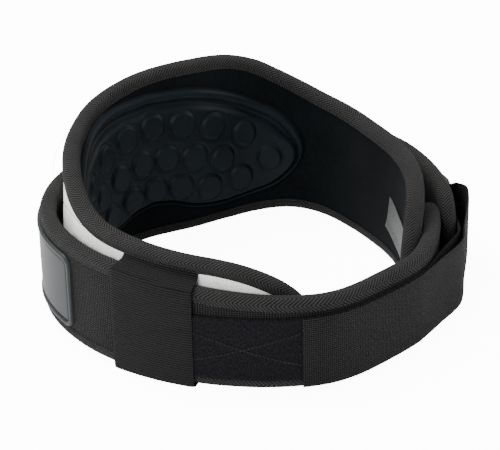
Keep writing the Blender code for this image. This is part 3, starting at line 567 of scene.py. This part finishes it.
class Look:
    """Node-based material whose patterns follow each mesh's own lengths, in millimetres."""

    def __init__(self, name, roughness, sheen=0.0, sheen_rough=0.4, coat=0.0, specular=0.5, tone=BLACK_TONE):
        self.tone = tone
        self.material = bpy.data.materials.new(name)
        self.material.use_nodes = True
        self.tree = self.material.node_tree
        self.shader = self.tree.nodes["Principled BSDF"]
        self.shader.inputs["Roughness"].default_value = roughness
        self.shader.inputs["Sheen Weight"].default_value = sheen
        self.shader.inputs["Sheen Roughness"].default_value = sheen_rough
        self.shader.inputs["Coat Weight"].default_value = coat
        self.shader.inputs["Specular IOR Level"].default_value = specular
        self.uv = self.add("ShaderNodeUVMap").outputs["UV"]
        split = self.add("ShaderNodeSeparateXYZ", Vector=self.uv)
        self.u = self.math("MULTIPLY", split.outputs["X"], 1000.0)
        self.v = self.math("MULTIPLY", split.outputs["Y"], 1000.0)
        self.world = self.add("ShaderNodeTexCoord").outputs["Object"]

    def add(self, kind, **inputs):
        made = self.tree.nodes.new(kind)
        for name, value in inputs.items():
            self.link(value, made.inputs[name.replace("_", " ")])
        return made

    def link(self, value, socket):
        if isinstance(value, bpy.types.NodeSocket):
            self.tree.links.new(value, socket)
        else:
            socket.default_value = value

    def math(self, operation, first, second=0.0, third=0.0):
        made = self.tree.nodes.new("ShaderNodeMath")
        made.operation = operation
        for value, socket in zip((first, second, third), made.inputs):
            self.link(value, socket)
        return made.outputs["Value"]

    def ridge(self, value, pitch):
        """Rounded threads side by side, from 0 between them to 1 on top."""
        return self.math("ABSOLUTE", self.math("SINE", self.math("MULTIPLY", value, math.pi / pitch)))

    def noise(self, scale, detail=3.0, stretch=None, world=True):
        vector = self.world if world else self.uv
        if stretch is not None:
            mapping = self.add("ShaderNodeMapping", Vector=vector)
            mapping.inputs["Scale"].default_value = stretch
            vector = mapping.outputs["Vector"]
        made = self.add("ShaderNodeTexNoise", Vector=vector, Scale=scale, Detail=detail)
        return made.outputs["Fac"]

    def ramp(self, value, low, high, start=0.0, end=1.0):
        made = self.tree.nodes.new("ShaderNodeMapRange")
        made.inputs["From Min"].default_value = start
        made.inputs["From Max"].default_value = end
        made.inputs["To Min"].default_value = low
        made.inputs["To Max"].default_value = high
        self.link(value, made.inputs["Value"])
        return made.outputs["Result"]

    def mix(self, share, first, second):
        made = self.tree.nodes.new("ShaderNodeMix")
        made.data_type = "RGBA"
        self.link(share, made.inputs["Factor"])
        for value, socket in ((first, made.inputs["A"]), (second, made.inputs["B"])):
            self.link((*(self.tone * channel for channel in value), 1.0), socket)
        return made.outputs["Result"]

    def finish(self, colour, height=None, distance=0.0003, roughness=None, strength=1.0):
        self.link(colour if isinstance(colour, bpy.types.NodeSocket) else (*colour, 1.0),
                  self.shader.inputs["Base Color"])
        if roughness is not None:
            self.link(roughness, self.shader.inputs["Roughness"])
        if height is not None:
            bump = self.add("ShaderNodeBump", Height=height, Distance=distance, Strength=strength)
            self.link(bump.outputs["Normal"], self.shader.inputs["Normal"])
        return self.material


def look_tape():
    """Herringbone twill tape: slanting ribs that turn back at the middle of each column."""
    look = Look("herringbone_tape", 0.92, sheen=0.02, sheen_rough=0.5, specular=0.08)
    zigzag = look.math("PINGPONG", look.v, TAPE_CHEVRON)
    across = look.math("SUBTRACT", look.u, zigzag)
    rib = look.ridge(across, 2.8)
    thread = look.ridge(look.math("ADD", look.u, zigzag), 0.8)
    fuzz = look.noise(900.0, 3.0)
    broad = look.noise(45.0, 3.0)
    height = look.math("ADD", look.math("MULTIPLY_ADD", thread, 0.25, rib), look.math("MULTIPLY", fuzz, 0.35))
    tone = look.math("MULTIPLY_ADD", fuzz, 0.5, look.math("MULTIPLY", rib, 0.6))
    tone = look.math("MULTIPLY_ADD", broad, 0.25, tone)
    colour = look.mix(look.ramp(tone, 0.0, 1.0, 0.45, 0.95), (0.0008, 0.0008, 0.0008), (0.090, 0.087, 0.086))
    return look.finish(colour, height, 0.0007)


def look_lining():
    look = Look("fleece_lining", 0.97, sheen=0.008, sheen_rough=0.6, specular=0.04)
    fuzz = look.noise(1500.0, 4.0)
    nap = look.noise(260.0, 3.0)
    broad = look.noise(22.0, 2.0)
    tone = look.math("MULTIPLY_ADD", broad, 0.5, look.math("MULTIPLY", fuzz, 0.4))
    tone = look.math("MULTIPLY_ADD", nap, 0.5, tone)
    colour = look.mix(look.ramp(tone, 0.0, 1.0, 0.4, 1.0), (0.003, 0.0042, 0.0052), (0.013, 0.017, 0.020))
    return look.finish(colour, look.math("MULTIPLY_ADD", nap, 0.5, fuzz), 0.0002)


def look_pad():
    look = Look("moulded_pad", 0.55, sheen=0.01, sheen_rough=0.4, specular=0.10, tone=0.34)
    grain = look.noise(1700.0, 3.0)
    broad = look.noise(30.0, 3.0)
    tone = look.math("MULTIPLY_ADD", grain, 0.4, look.math("MULTIPLY", broad, 0.7))
    colour = look.mix(look.ramp(tone, 0.0, 1.0, 0.3, 0.9), (0.0045, 0.0095, 0.0140), (0.0105, 0.0195, 0.0270))
    return look.finish(colour, grain, 0.00005, look.ramp(broad, 0.46, 0.6))


def look_facing():
    look = Look("silver_facing", 0.55, sheen=0.1, specular=0.2, tone=1.0)
    pebble = look.tree.nodes.new("ShaderNodeTexVoronoi")
    pebble.inputs["Scale"].default_value = 620.0
    look.link(look.world, pebble.inputs["Vector"])
    cell = pebble.outputs["Distance"]
    fuzz = look.noise(900.0, 3.0)
    broad = look.noise(70.0, 3.0)
    height = look.math("ADD", look.math("SUBTRACT", 1.0, cell), look.math("MULTIPLY", fuzz, 0.5))
    tone = look.math("MULTIPLY_ADD", broad, 0.5, look.math("MULTIPLY", cell, 0.5))
    colour = look.mix(look.ramp(tone, 0.0, 1.0, 0.2, 0.8), (0.90, 0.93, 0.89), (0.70, 0.73, 0.69))
    return look.finish(colour, height, 0.00035)


def look_canvas():
    """Ballistic cloth: thick threads, two over and two under."""
    look = Look("canvas", 0.85, sheen=0.02, specular=0.1)
    return weave(look, 1.8, (0.0008, 0.0008, 0.0009), (0.078, 0.076, 0.075), 0.0010)


def weave(look, pitch, dark, light, depth):
    warp = look.ridge(look.u, pitch)
    weft = look.ridge(look.v, pitch)
    over = look.math("SINE", look.math("MULTIPLY", look.u, 0.5 * math.pi / pitch))
    over = look.math("MULTIPLY", over, look.math("SINE", look.math("MULTIPLY", look.v, 0.5 * math.pi / pitch)))
    over = look.ramp(over, 0.0, 1.0, -0.3, 0.3)
    top = look.math("MULTIPLY", warp, over)
    under = look.math("MULTIPLY", weft, look.math("SUBTRACT", 1.0, over))
    crossing = look.math("MULTIPLY_ADD", look.math("MULTIPLY", warp, weft), 0.6, 0.4)
    body = look.math("MULTIPLY", look.math("ADD", top, under), crossing)
    fuzz = look.noise(1100.0, 3.0)
    broad = look.noise(28.0, 3.0)
    height = look.math("MULTIPLY_ADD", fuzz, 0.2, body)
    tone = look.math("ADD", look.math("MULTIPLY", body, 0.75), look.math("MULTIPLY", fuzz, 0.25))
    tone = look.math("MULTIPLY_ADD", broad, 0.2, tone)
    colour = look.mix(look.ramp(tone, 0.0, 1.0, 0.38, 0.95), dark, light)
    return look.finish(colour, height, depth)


def look_webbing(name="strap_webbing", light=(0.072, 0.070, 0.071)):
    look = Look(name, 0.82, sheen=0.02, specular=0.12)
    return weave(look, 1.7, (0.0008, 0.0008, 0.0009), light, 0.0010)


def look_elastic():
    """Ribbed elastic: ribs along the belt crossed by fine covered threads."""
    look = Look("ribbed_elastic", 0.88, sheen=0.02, specular=0.1)
    rib = look.ridge(look.v, 2.1)
    thread = look.ridge(look.u, 1.5)
    fuzz = look.noise(1200.0, 3.0)
    broad = look.noise(35.0, 3.0, stretch=(0.4, 0.4, 2.5))
    height = look.math("MULTIPLY_ADD", thread, 0.3, rib)
    crossing = look.math("MULTIPLY", look.math("MULTIPLY", thread, rib), 0.35)
    tone = look.math("ADD", look.math("MULTIPLY", rib, 0.45), crossing)
    tone = look.math("MULTIPLY_ADD", broad, 0.3, look.math("MULTIPLY_ADD", fuzz, 0.2, tone))
    colour = look.mix(look.ramp(tone, 0.0, 1.0, 0.35, 1.0), (0.0008, 0.0008, 0.0008), (0.038, 0.037, 0.037))
    return look.finish(colour, height, 0.0008)


def look_pile():
    """Brushed loop pile of the fastening panel."""
    look = Look("loop_pile", 0.95, sheen=0.02, sheen_rough=0.5, specular=0.05)
    dash = look.noise(1.0, 3.0, stretch=(1300.0, 420.0, 1.0), world=False)
    fuzz = look.noise(1500.0, 3.0)
    tone = look.math("MULTIPLY_ADD", fuzz, 0.5, look.math("MULTIPLY", dash, 0.8))
    colour = look.mix(look.ramp(tone, 0.0, 1.0, 0.48, 0.95), (0.0012, 0.0012, 0.0018), (0.044, 0.042, 0.052))
    return look.finish(colour, look.math("ADD", dash, fuzz), 0.0003)


def look_patch():
    look = Look("rubber_patch", 0.46, specular=0.15, tone=0.33)
    grain = look.noise(1300.0, 2.0)
    broad = look.noise(24.0, 3.0)
    colour = look.mix(look.ramp(broad, 0.0, 1.0, 0.3, 0.7), (0.046, 0.052, 0.056), (0.060, 0.067, 0.071))
    return look.finish(colour, grain, 0.00006, look.ramp(broad, 0.38, 0.48))


def look_satin():
    look = Look("satin_label", 0.38, sheen=0.1, specular=0.2, tone=0.12)
    thread = look.ridge(look.v, 0.22)
    broad = look.noise(90.0, 3.0)
    colour = look.mix(look.ramp(broad, 0.0, 1.0, 0.3, 0.7), (0.17, 0.18, 0.18), (0.27, 0.28, 0.28))
    return look.finish(colour, thread, 0.00004, look.ramp(broad, 0.32, 0.46))


def look_ring():
    look = Look("gloss_black", 0.12, coat=0.6, specular=0.6)
    broad = look.noise(120.0, 2.0)
    return look.finish((0.006, 0.006, 0.0065), broad, 0.00002, look.ramp(broad, 0.09, 0.17))


def look_thread(name, colour):
    look = Look(name, 0.8, sheen=0.1, specular=0.3)
    fuzz = look.noise(2500.0, 2.0)
    made = look.mix(fuzz, tuple(0.6 * c for c in colour), tuple(1.3 * c for c in colour))
    return look.finish(made, fuzz, 0.0001)


LOOKS = {
    "tape": look_tape(), "lining": look_lining(), "pad": look_pad(), "facing": look_facing(),
    "canvas": look_canvas(), "webbing": look_webbing(),
    "holder": look_webbing("holder_webbing", (0.075, 0.073, 0.07)),
    "elastic": look_elastic(), "pile": look_pile(), "patch": look_patch(), "satin": look_satin(),
    "ring": look_ring(), "thread": look_thread("black_thread", (0.004, 0.004, 0.004)),
}


# Pieces
def make_body():
    outline = Outline(-BODY_HALF_LENGTH, BODY_HALF_LENGTH, body_top, body_bottom,
                      BODY_END_UPPER, BODY_END_LOWER, END_TIP_SHARE, leans=True)
    def inner(place, height, edge):
        swell = blend((edge - HIDDEN_EDGE) / 0.012)
        uneven = wander(place + 0.6 * height, 3.0, 0.0003) + wander(height * 2 + 0.3 * place, 5.0, 0.0002)
        return 0.0005 - 0.0009 * swell + uneven * swell

    def core(place, height, edge):
        return np.full_like(place, 0.0045)

    lining = slab("body_lining", outline, HIDDEN_EDGE, inner, core, LOOKS["lining"])
    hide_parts("inner_body")

    def back(place, height, edge):
        pleat = np.exp(-((place - 0.195) / 0.020) ** 2) * np.sin(2 * math.pi * (place + 0.10 * height) / 0.0062)
        fine = wander(place * 3.1 + height, 2.0, 0.0002) + wander(place * 1.3 - height, 7.0, 0.00035)
        return BODY_THICKNESS - 0.0007 + 0.0010 * pleat + fine

    facing = slab("body_facing", outline, HIDDEN_EDGE, lambda p, h, e: np.full_like(p, 0.0118), back,
                  LOOKS["facing"], columns=900, levels=24)
    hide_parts("outer_facing")
    section = tape_rows(BODY_THICKNESS, BODY_TAPE_PROUD, 0.0068)
    tape = edging("body_binding", outline, flat_base, section, LOOKS["tape"], 1.3)
    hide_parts("inner_body_binding")
    return outline


def make_band():
    outline = Outline(BAND_LEFT_END, BAND_RIGHT_END, band_top, band_bottom,
                      BAND_END_UPPER, BAND_END_LOWER, END_TIP_SHARE)
    def inner(place, height, edge):
        return band_base(place) + 0.0003

    def outer(place, height, edge):
        swell = blend((edge - HIDDEN_EDGE) / 0.010)
        return band_base(place) + BAND_THICKNESS - 0.0004 + 0.0003 * swell + wander(place, 4.0, 0.00012) * swell

    core = slab("band_cloth", outline, HIDDEN_EDGE, inner, outer, LOOKS["canvas"], columns=520, levels=20)
    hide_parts("outer_band")
    section = tape_rows(BAND_THICKNESS, BAND_TAPE_PROUD, 0.0064)
    tape = edging("band_binding", outline, band_base, section, LOOKS["tape"], 2.1)
    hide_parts("outer_band_binding")
    return outline


def make_pad():
    tip = (PAD_TIP - PAD_LOWER[-1][1]) / (PAD_UPPER[-1][1] - PAD_LOWER[-1][1])
    outline = Outline(-PAD_HALF_WIDTH, PAD_HALF_WIDTH, pad_top, pad_bottom, PAD_END_UPPER, PAD_END_LOWER, tip,
                      0.001, leans=True)
    dots = [(side * across * PAD_HALF_WIDTH, up * PAD_TOP_HEIGHT)
            for across, up in PAD_DOTS for side in ((1,) if across == 0 else (1, -1))]

    def face(place, height, edge):
        below = blend(0.5 + (pad_top(place) + pad_bottom(place) - 2 * height) / PAD_TURN)
        depth = 0.001 * pad_relief(1000 * edge * (1 + (PAD_LOWER_SQUEEZE - 1) * below))
        for dot_place, dot_height in dots:
            radius = np.hypot(place - dot_place, height - dot_height)
            depth = depth + DOT_HEIGHT * blend((DOT_RADIUS + 0.4 * DOT_EDGE - radius) / DOT_EDGE)
            depth = depth - 0.0006 * np.exp(-((radius - DOT_RADIUS - 0.0016) / 0.0011) ** 2)
        return -depth

    pad = slab("lumbar_cushion", outline, 0.0, face, lambda p, h, e: np.full_like(p, -0.0003), LOOKS["pad"],
               columns=340, levels=170)
    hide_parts("lumbar_pad")


def make_patch():
    middle = BAND_BOTTOM + 0.5 * BAND_BACK_HEIGHT
    high, low = middle + 0.5 * PATCH_HEIGHT, middle - 0.5 * PATCH_HEIGHT
    outline = rounded_box(PATCH_MIDDLE, PATCH_HALF_WIDTH, low, high, PATCH_CORNER)
    profile = table_curve([(0.0, 1.6), (0.5, 2.5), (1.2, 3.0), (2.6, 3.05), (3.4, 2.9), (4.0, 2.1), (4.4, 1.55),
                           (5.2, 1.5), (5.7, 1.8), (6.5, 2.05), (9.0, 2.1), (40.0, 2.15)])

    def face(place, height, edge):
        return band_base(place) + BAND_THICKNESS + 0.001 * profile(1000 * edge)

    patch = slab("blank_patch", outline, 0.0, lambda p, h, e: band_base(p) + BAND_THICKNESS + 0.0002, face,
                 LOOKS["patch"], columns=260, levels=90)
    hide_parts("rubber_patch")
    loop = outline.inset(0.0047)
    loop = np.r_[loop, loop[:1]]
    path = spot(loop[:, 0], band_base(loop[:, 0]) + BAND_THICKNESS + 0.0016, loop[:, 1])
    out = np.c_[outward_at(loop[:, 0]), np.zeros(len(loop))]
    return [stitch_row(path, out, 0.0028)]


def rounded_box(middle, half, low, high, radius):
    """Outline of a rectangle with round corners."""
    made = Outline.__new__(Outline)
    made.left, made.right, made.leans = middle - half, middle + half, False
    loop = []
    left, right = middle - half + radius, middle + half - radius
    for x, y, start in ((left, high - radius, 180), (right, high - radius, 90),
                        (right, low + radius, 0), (left, low + radius, -90)):
        for angle in np.radians(start - np.linspace(0, 90, 12)):
            loop.append((x + radius * math.cos(angle), y + radius * math.sin(angle)))
    made.keep(np.array(loop), 0.001)
    return made


def keeper_line(place):
    """Middle line of the elastic in a slice across the belt, as (offset, height)."""
    thick = KEEPER_THICKNESS
    half = 0.5 * thick
    band_in = float(band_base(place))
    out = band_in + BAND_THICKNESS + STRAP_THICKNESS + 3 * CLOTH_GAP + half
    top = float(band_top(place)) + CLOTH_GAP + half
    bottom = BAND_BOTTOM - CLOTH_GAP - half
    head = float(body_top(place)) - TAPE_REACH
    near = BODY_THICKNESS - 0.0002
    points = [(near - 0.0006, head + 0.0035), (near, head), (near + 0.0008, 0.5 * (head + top) + 0.001),
              (near + 0.0022, top + 0.0022), (near + 0.0065, top + 0.0004), (out - 0.0052, top),
              (out - 0.0014, top - 0.0016), (out, top - 0.0055), (out + 0.0002, 0.5 * (top + bottom)),
              (out, bottom + 0.0058), (out - 0.0014, bottom + 0.0016), (out - 0.0052, bottom),
              (near + 0.0042, bottom)]
    return np.array(smooth_path(points, 6))


def make_keeper():
    half = 0.5 * KEEPER_THICKNESS
    places = np.linspace(KEEPER_PLACE - 0.5 * KEEPER_WIDTH, KEEPER_PLACE + 0.5 * KEEPER_WIDTH, 46)
    grid = []
    for i, place in enumerate(places):
        line = keeper_line(place)
        line, lengths = resample_path(line, 0.0011)
        count = 118
        wanted = np.linspace(0.0, lengths[-1], count)
        line = np.stack([np.interp(wanted, lengths, line[:, k]) for k in (0, 1)], -1)
        ahead = np.gradient(line, axis=0)
        ahead /= np.linalg.norm(ahead, axis=1)[:, None]
        side = np.stack([-ahead[:, 1], ahead[:, 0]], -1)
        edge = min(i, len(places) - 1 - i)
        level = (0.4, 0.8, 1.0)[min(edge, 2)]
        outer, inner = line + side * half * level, line - side * half * level
        section = np.r_[outer, inner[::-1]]
        grid.append(spot(np.full(len(section), place), section[:, 0], section[:, 1]))
    lengths = np.r_[wanted, wanted[::-1], wanted[0]]
    keeper = surface("elastic_keeper", np.stack(grid), np.r_[places, places[-1]], lengths, LOOKS["elastic"],
                     close_v=True, caps=True, sharp=70.0)
    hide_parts("keeper")


def ring_bars():
    place = BAND_LEFT_END + RING_PLACE
    offset = float(band_base(place)) + BAND_THICKNESS + RING_STANDOFF
    centre = plan_at(place, offset)
    outward = outward_at(place)
    along = np.array([outward[1], -outward[0]])
    reach = 0.5 * (RING_LENGTH - RING_WIRE)
    return centre - along * reach, centre + along * reach, along, outward


def make_ring():
    far, near, along, outward = ring_bars()
    middle = 0.5 * (far + near)
    half_long = 0.5 * STRAP_WIDTH + RING_CLEARANCE + 0.5 * RING_WIRE + RING_END_ROOM
    half_wide = 0.5 * np.linalg.norm(far - near)
    centre_height = STRAP_BOTTOM + 0.5 * STRAP_WIDTH
    path = []
    for sign_wide, sign_long, start in ((1, 1, 0), (-1, 1, 90), (-1, -1, 180), (1, -1, 270)):
        for angle in np.linspace(0, 90, 10):
            turn = math.radians(start + angle)
            path.append((sign_wide * (half_wide - RING_CORNER) + RING_CORNER * math.cos(turn),
                         sign_long * (half_long - RING_CORNER) + RING_CORNER * math.sin(turn)))
    path = resample_loop(np.array(path), 0.001)
    run = np.roll(path, -1, 0) - np.roll(path, 1, 0)
    run /= np.linalg.norm(run, axis=1)[:, None]
    side = np.stack([run[:, 1], -run[:, 0]], -1)
    grid = []
    for k in range(18):
        angle = 2 * math.pi * k / 18
        out, deep = 0.5 * RING_WIRE * math.cos(angle), 0.5 * RING_WIRE * math.sin(angle)
        flat = middle + along * (path[:, :1] + side[:, :1] * out) + outward * deep
        grid.append(np.c_[flat, centre_height + path[:, 1] + side[:, 1] * out])
    grid = np.stack(grid, 1)
    lengths = np.arange(len(path) + 1) * 0.001
    ring = surface("wire_ring", grid, lengths, np.linspace(0, math.pi * RING_WIRE, 19), LOOKS["ring"],
                   close_u=True, close_v=True)
    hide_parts("ring")


def fold_round(bar, start, end, radius, steps=14):
    angles = np.radians(np.linspace(start, end, steps))
    return bar + radius * np.stack([np.cos(angles), np.sin(angles)], -1)


def outer_first(turn, inner_side):
    return np.linalg.norm(turn[0] - inner_side) > np.linalg.norm(turn[-1] - inner_side)


def make_holder():
    far, near, along, outward = ring_bars()
    place = BAND_LEFT_END + RING_PLACE
    seam = place + RING_LENGTH
    base = np.linspace(seam + HOLDER_BASE, seam + 0.004, 10)
    radius = 0.5 * RING_WIRE + RING_CLEARANCE + 0.5 * HOLDER_THICKNESS
    facing = math.degrees(math.atan2(along[1], along[0]))
    turn = fold_round(far, facing - 90, facing + 100, radius)
    if outer_first(turn, plan_at(place, 0.0)):
        turn = turn[::-1]
    under = BAND_THICKNESS + CLOTH_GAP + 0.5 * HOLDER_THICKNESS
    over = under + HOLDER_THICKNESS + CLOTH_GAP
    path = list(plan_at(base, band_base(base) + under)) + list(turn)
    path += list(plan_at(base[::-1], band_base(base[::-1]) + over))
    middle = STRAP_BOTTOM + 0.5 * STRAP_WIDTH
    holder, path, side, lengths = ribbon("ring_loop", smooth_path(path, 3), HOLDER_WIDTH, HOLDER_THICKNESS,
                                         middle - 0.5 * HOLDER_WIDTH, LOOKS["holder"])
    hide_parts("ring_holder")


def strap_path():
    """Plan path of the pull strap, from its tail round the ring and back to its hem."""
    far, near, along, outward = ring_bars()
    lift = CLOTH_GAP + 0.5 * STRAP_THICKNESS
    step = STRAP_THICKNESS + 2 * CLOTH_GAP
    leave = INNER_GIRTH + BAND_LEFT_END - STRAP_LEAVE
    tip = INNER_GIRTH + BAND_LEFT_END

    def on_band(place, level):
        return plan_at(place, band_base(place) + BAND_THICKNESS + lift + level * step)

    def on_end(place, more):
        return plan_at(place, band_base(place - INNER_GIRTH) + BAND_THICKNESS + lift + more)

    start = KEEPER_PLACE + 0.5 * KEEPER_WIDTH - STRAP_TAIL
    first = list(on_band(np.linspace(start, leave, 60), 0.0))
    radius = 0.5 * RING_WIRE + RING_CLEARANCE + 0.5 * STRAP_THICKNESS
    facing = math.degrees(math.atan2(along[1], along[0]))
    turn = fold_round(near, facing - 90, facing - 250, radius)
    if outer_first(turn, plan_at(BAND_LEFT_END + RING_PLACE, 0.0)):
        turn = fold_round(near, facing + 90, facing + 250, radius)
    rise = [on_band(leave + STRAP_RISE, 0.5), on_end(tip - STRAP_LAND, 0.0),
            on_end(tip + STRAP_RISE, STRAP_EASE), turn[0]]
    path = first[:-1] + smooth_path([first[-1]] + rise, 10)[:-1] + list(turn)
    swell = [turn[-1] + outward * SWELL_NEAR + along * 2 * STRAP_EASE,
             turn[-1] + outward * SWELL_FAR + along * SWELL_LENGTH,
             on_end(tip + SWELL_NEAR, SWELL_END), on_end(tip - SWELL_LENGTH, SWELL_LAND),
             on_band(leave + STRAP_LAND, STRAP_RETURN)]
    back = list(on_band(np.linspace(leave - 0.020, STRAP_HEM, 50), 1.0))
    path += smooth_path([turn[-1]] + swell + [back[0]], 10)[1:-1] + back
    return np.array(path)


def strap_tail_bottom(place):
    """The tail that is sewn down is narrower, and widens under the second leg."""
    narrow = 1 - blend((place - STRAP_HEM - STRAP_TAIL_LEAD) / STRAP_WIDENS)
    return STRAP_BOTTOM + (STRAP_TAIL_BOTTOM - STRAP_BOTTOM) * narrow


def make_strap():
    path = strap_path()
    start = KEEPER_PLACE + 0.5 * KEEPER_WIDTH - STRAP_TAIL
    places = np.linspace(start, INNER_GIRTH + BAND_LEFT_END - STRAP_LEAVE, 60)
    first = np.r_[0.0, np.cumsum(np.linalg.norm(np.diff(path[:60], axis=0), axis=1))]
    total = np.linalg.norm(np.diff(path, axis=0), axis=1).sum()

    def tail(lengths):
        return np.interp(lengths, first, strap_tail_bottom(places) - STRAP_BOTTOM)

    def hem(lengths):
        return 0.0013 * blend((lengths - (total - 0.0125)) / 0.0012)

    strap, path, side, lengths = ribbon("pull_strap", path, STRAP_WIDTH, STRAP_THICKNESS, STRAP_BOTTOM,
                                        LOOKS["webbing"], levels=16, extra=hem, narrow=tail)
    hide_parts("strap")
    rows = []
    for back in (0.003, 0.0095):
        at = total - back
        k = int(np.argmin(np.abs(lengths - at)))
        heights = np.linspace(STRAP_BOTTOM + 0.003, STRAP_BOTTOM + STRAP_WIDTH - 0.003, 40)
        flat = path[k] + side[k] * (0.5 * STRAP_THICKNESS + 0.0012)
        line = np.c_[np.tile(flat, (40, 1)), heights]
        rows.append(stitch_row(line, np.tile([*side[k], 0.0], (40, 1)), 0.0032))
    return rows


def make_pile():
    """Brushed panel on the strap's first leg, with two crossed rows of stitches."""
    left, right = KEEPER_PLACE - 0.5 * KEEPER_WIDTH + 0.006, STRAP_HEM + 0.030
    outline = rounded_box(0.5 * (left + right), 0.5 * (right - left),
                          STRAP_TAIL_BOTTOM - 0.0004, STRAP_BOTTOM + STRAP_WIDTH - 0.0005, 0.002)

    def base(place):
        return band_base(place) + BAND_THICKNESS + CLOTH_GAP + STRAP_THICKNESS

    def face(place, height, edge):
        return base(place) + 0.0001 + 0.0004 * blend(edge / 0.0015)

    panel = slab("pile_panel", outline, 0.0, lambda p, h, e: base(p) - 0.0018, face, LOOKS["pile"],
                 columns=150, levels=40)
    middle, reach, tall = 0.345, 0.0625, 0.046
    bottom = STRAP_TAIL_BOTTOM + 0.004
    rows = []
    lines = [((middle - reach, bottom), (middle + reach, bottom + tall)),
             ((middle - reach, bottom + tall), (middle + reach, bottom))]
    for (p0, h0), (p1, h1) in lines:
        t = np.linspace(0.0, 1.0, 60)
        place, height = p0 + (p1 - p0) * t, h0 + (h1 - h0) * t
        path = spot(place, base(place) + 0.0003, height)
        out = np.c_[outward_at(place), np.zeros(60)]
        rows.append(stitch_row(path, out, 0.0032, gap=0.12, radius=0.0005))
    return rows


def make_label():
    turn = math.radians(LABEL_TILT)
    across = np.linspace(-0.5 * LABEL_LENGTH, 0.5 * LABEL_LENGTH, 40) * LABEL_SPREAD
    up = np.linspace(-0.5 * LABEL_HEIGHT, 0.5 * LABEL_HEIGHT, 30)
    a, b = np.meshgrid(across, up, indexing="ij")
    place = LABEL_PLACE + a * math.cos(turn) - b * math.sin(turn)
    height = LABEL_MIDDLE + a * math.sin(turn) + b * math.cos(turn)
    lift = 0.0008 + 0.0005 * np.cos(a / 0.009) + 0.0012 * blend((b + 0.006) / -0.012)
    near = spot(place, -lift - 0.0004, height)
    far = spot(place, -lift, height)
    grid = np.concatenate([near, far[:, ::-1]], 1)
    lengths = np.r_[up, up[::-1], up[0]]
    label = surface("satin_label", grid, np.r_[across, across[-1]], lengths, LOOKS["satin"],
                    close_v=True, caps=True)
    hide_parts("care_label")


def binding_stitches(outline, base, thickness, proud):
    rows = []
    loop = outline.inset(STITCH_INSET)
    loop = np.r_[loop, loop[:1]]
    out = np.c_[outward_at(loop[:, 0]), np.zeros(len(loop))]
    for offset, sign in ((-0.35 * proud, -1), (thickness + 0.35 * proud, 1)):
        path = spot(loop[:, 0], base(loop[:, 0]) + offset, loop[:, 1])
        rows.append(stitch_row(path, sign * out, 0.0030))
    return rows


def make_stage():
    mesh = bpy.data.meshes.new("floor")
    mesh.from_pydata([(-6, -6, 0), (6, -6, 0), (6, 6, 0), (-6, 6, 0)], [], [(0, 1, 2, 3)])
    floor = bpy.data.objects.new("floor", mesh)
    bpy.context.scene.collection.objects.link(floor)
    look = bpy.data.materials.new("pale_floor")
    look.use_nodes = True
    shader = look.node_tree.nodes["Principled BSDF"]
    shader.inputs["Base Color"].default_value = (1.0, 1.0, 1.0, 1)
    shader.inputs["Roughness"].default_value = 0.9
    shader.inputs["Specular IOR Level"].default_value = 0.1
    shader.inputs["Emission Color"].default_value = (1, 1, 1, 1)
    glow = look.node_tree.nodes.new("ShaderNodeMath")
    glow.operation = "MULTIPLY_ADD"
    seen = look.node_tree.nodes.new("ShaderNodeLightPath")
    look.node_tree.links.new(seen.outputs["Is Camera Ray"], glow.inputs[0])
    glow.inputs[1].default_value = FLOOR_GLOW_SEEN
    glow.inputs[2].default_value = FLOOR_GLOW_CAST
    look.node_tree.links.new(glow.outputs["Value"], shader.inputs["Emission Strength"])
    mesh.materials.append(look)
    world = bpy.data.worlds.new("studio")
    bpy.context.scene.world = world
    world.use_nodes = True
    world.node_tree.nodes["Background"].inputs["Color"].default_value = (1, 1, 1, 1)
    world.node_tree.nodes["Background"].inputs["Strength"].default_value = WORLD_LIGHT
    for name, place, size, power in LAMPS:
        data = bpy.data.lights.new(name, "AREA")
        data.size = size
        data.energy = power
        lamp = bpy.data.objects.new(name, data)
        lamp.location = place
        aim = Vector((0.0, 0.0, 0.06)) - Vector(place)
        lamp.rotation_mode = "QUATERNION"
        lamp.rotation_quaternion = aim.to_track_quat("-Z", "Y")
        bpy.context.scene.collection.objects.link(lamp)


def make_camera():
    data = bpy.data.cameras.new("camera")
    data.lens = VIEW_LENS
    data.sensor_width = 36.0
    camera = bpy.data.objects.new("camera", data)
    bpy.context.scene.collection.objects.link(camera)
    azimuth, pitch = math.radians(VIEW_AZIMUTH), math.radians(VIEW_PITCH)
    back = Vector((math.sin(azimuth) * math.cos(pitch), -math.cos(azimuth) * math.cos(pitch), math.sin(pitch)))
    camera.location = Vector(VIEW_TARGET) + back * VIEW_DISTANCE
    camera.rotation_mode = "QUATERNION"
    roll = Quaternion((0, 0, 1), math.radians(VIEW_ROLL))
    camera.rotation_quaternion = (-back).to_track_quat("-Z", "Y") @ roll
    bpy.context.scene.camera = camera


make_camera()
make_stage()
body_outline = make_body()
band_outline = make_band()
make_pad()
patch_rows = make_patch()
make_keeper()
make_ring()
make_holder()
strap_rows = make_strap()
pile_rows = make_pile()
make_label()
body_rows = binding_stitches(body_outline, flat_base, BODY_THICKNESS, BODY_TAPE_PROUD)
band_rows = binding_stitches(band_outline, band_base, BAND_THICKNESS, BAND_TAPE_PROUD)
body_thread = stitches("body_stitches", body_rows, LOOKS["thread"])
band_thread = stitches("band_stitches", band_rows, LOOKS["thread"])
patch_thread = stitches("patch_stitches", patch_rows, LOOKS["thread"])
panel_thread = stitches("strap_stitches", strap_rows + pile_rows, LOOKS["thread"])
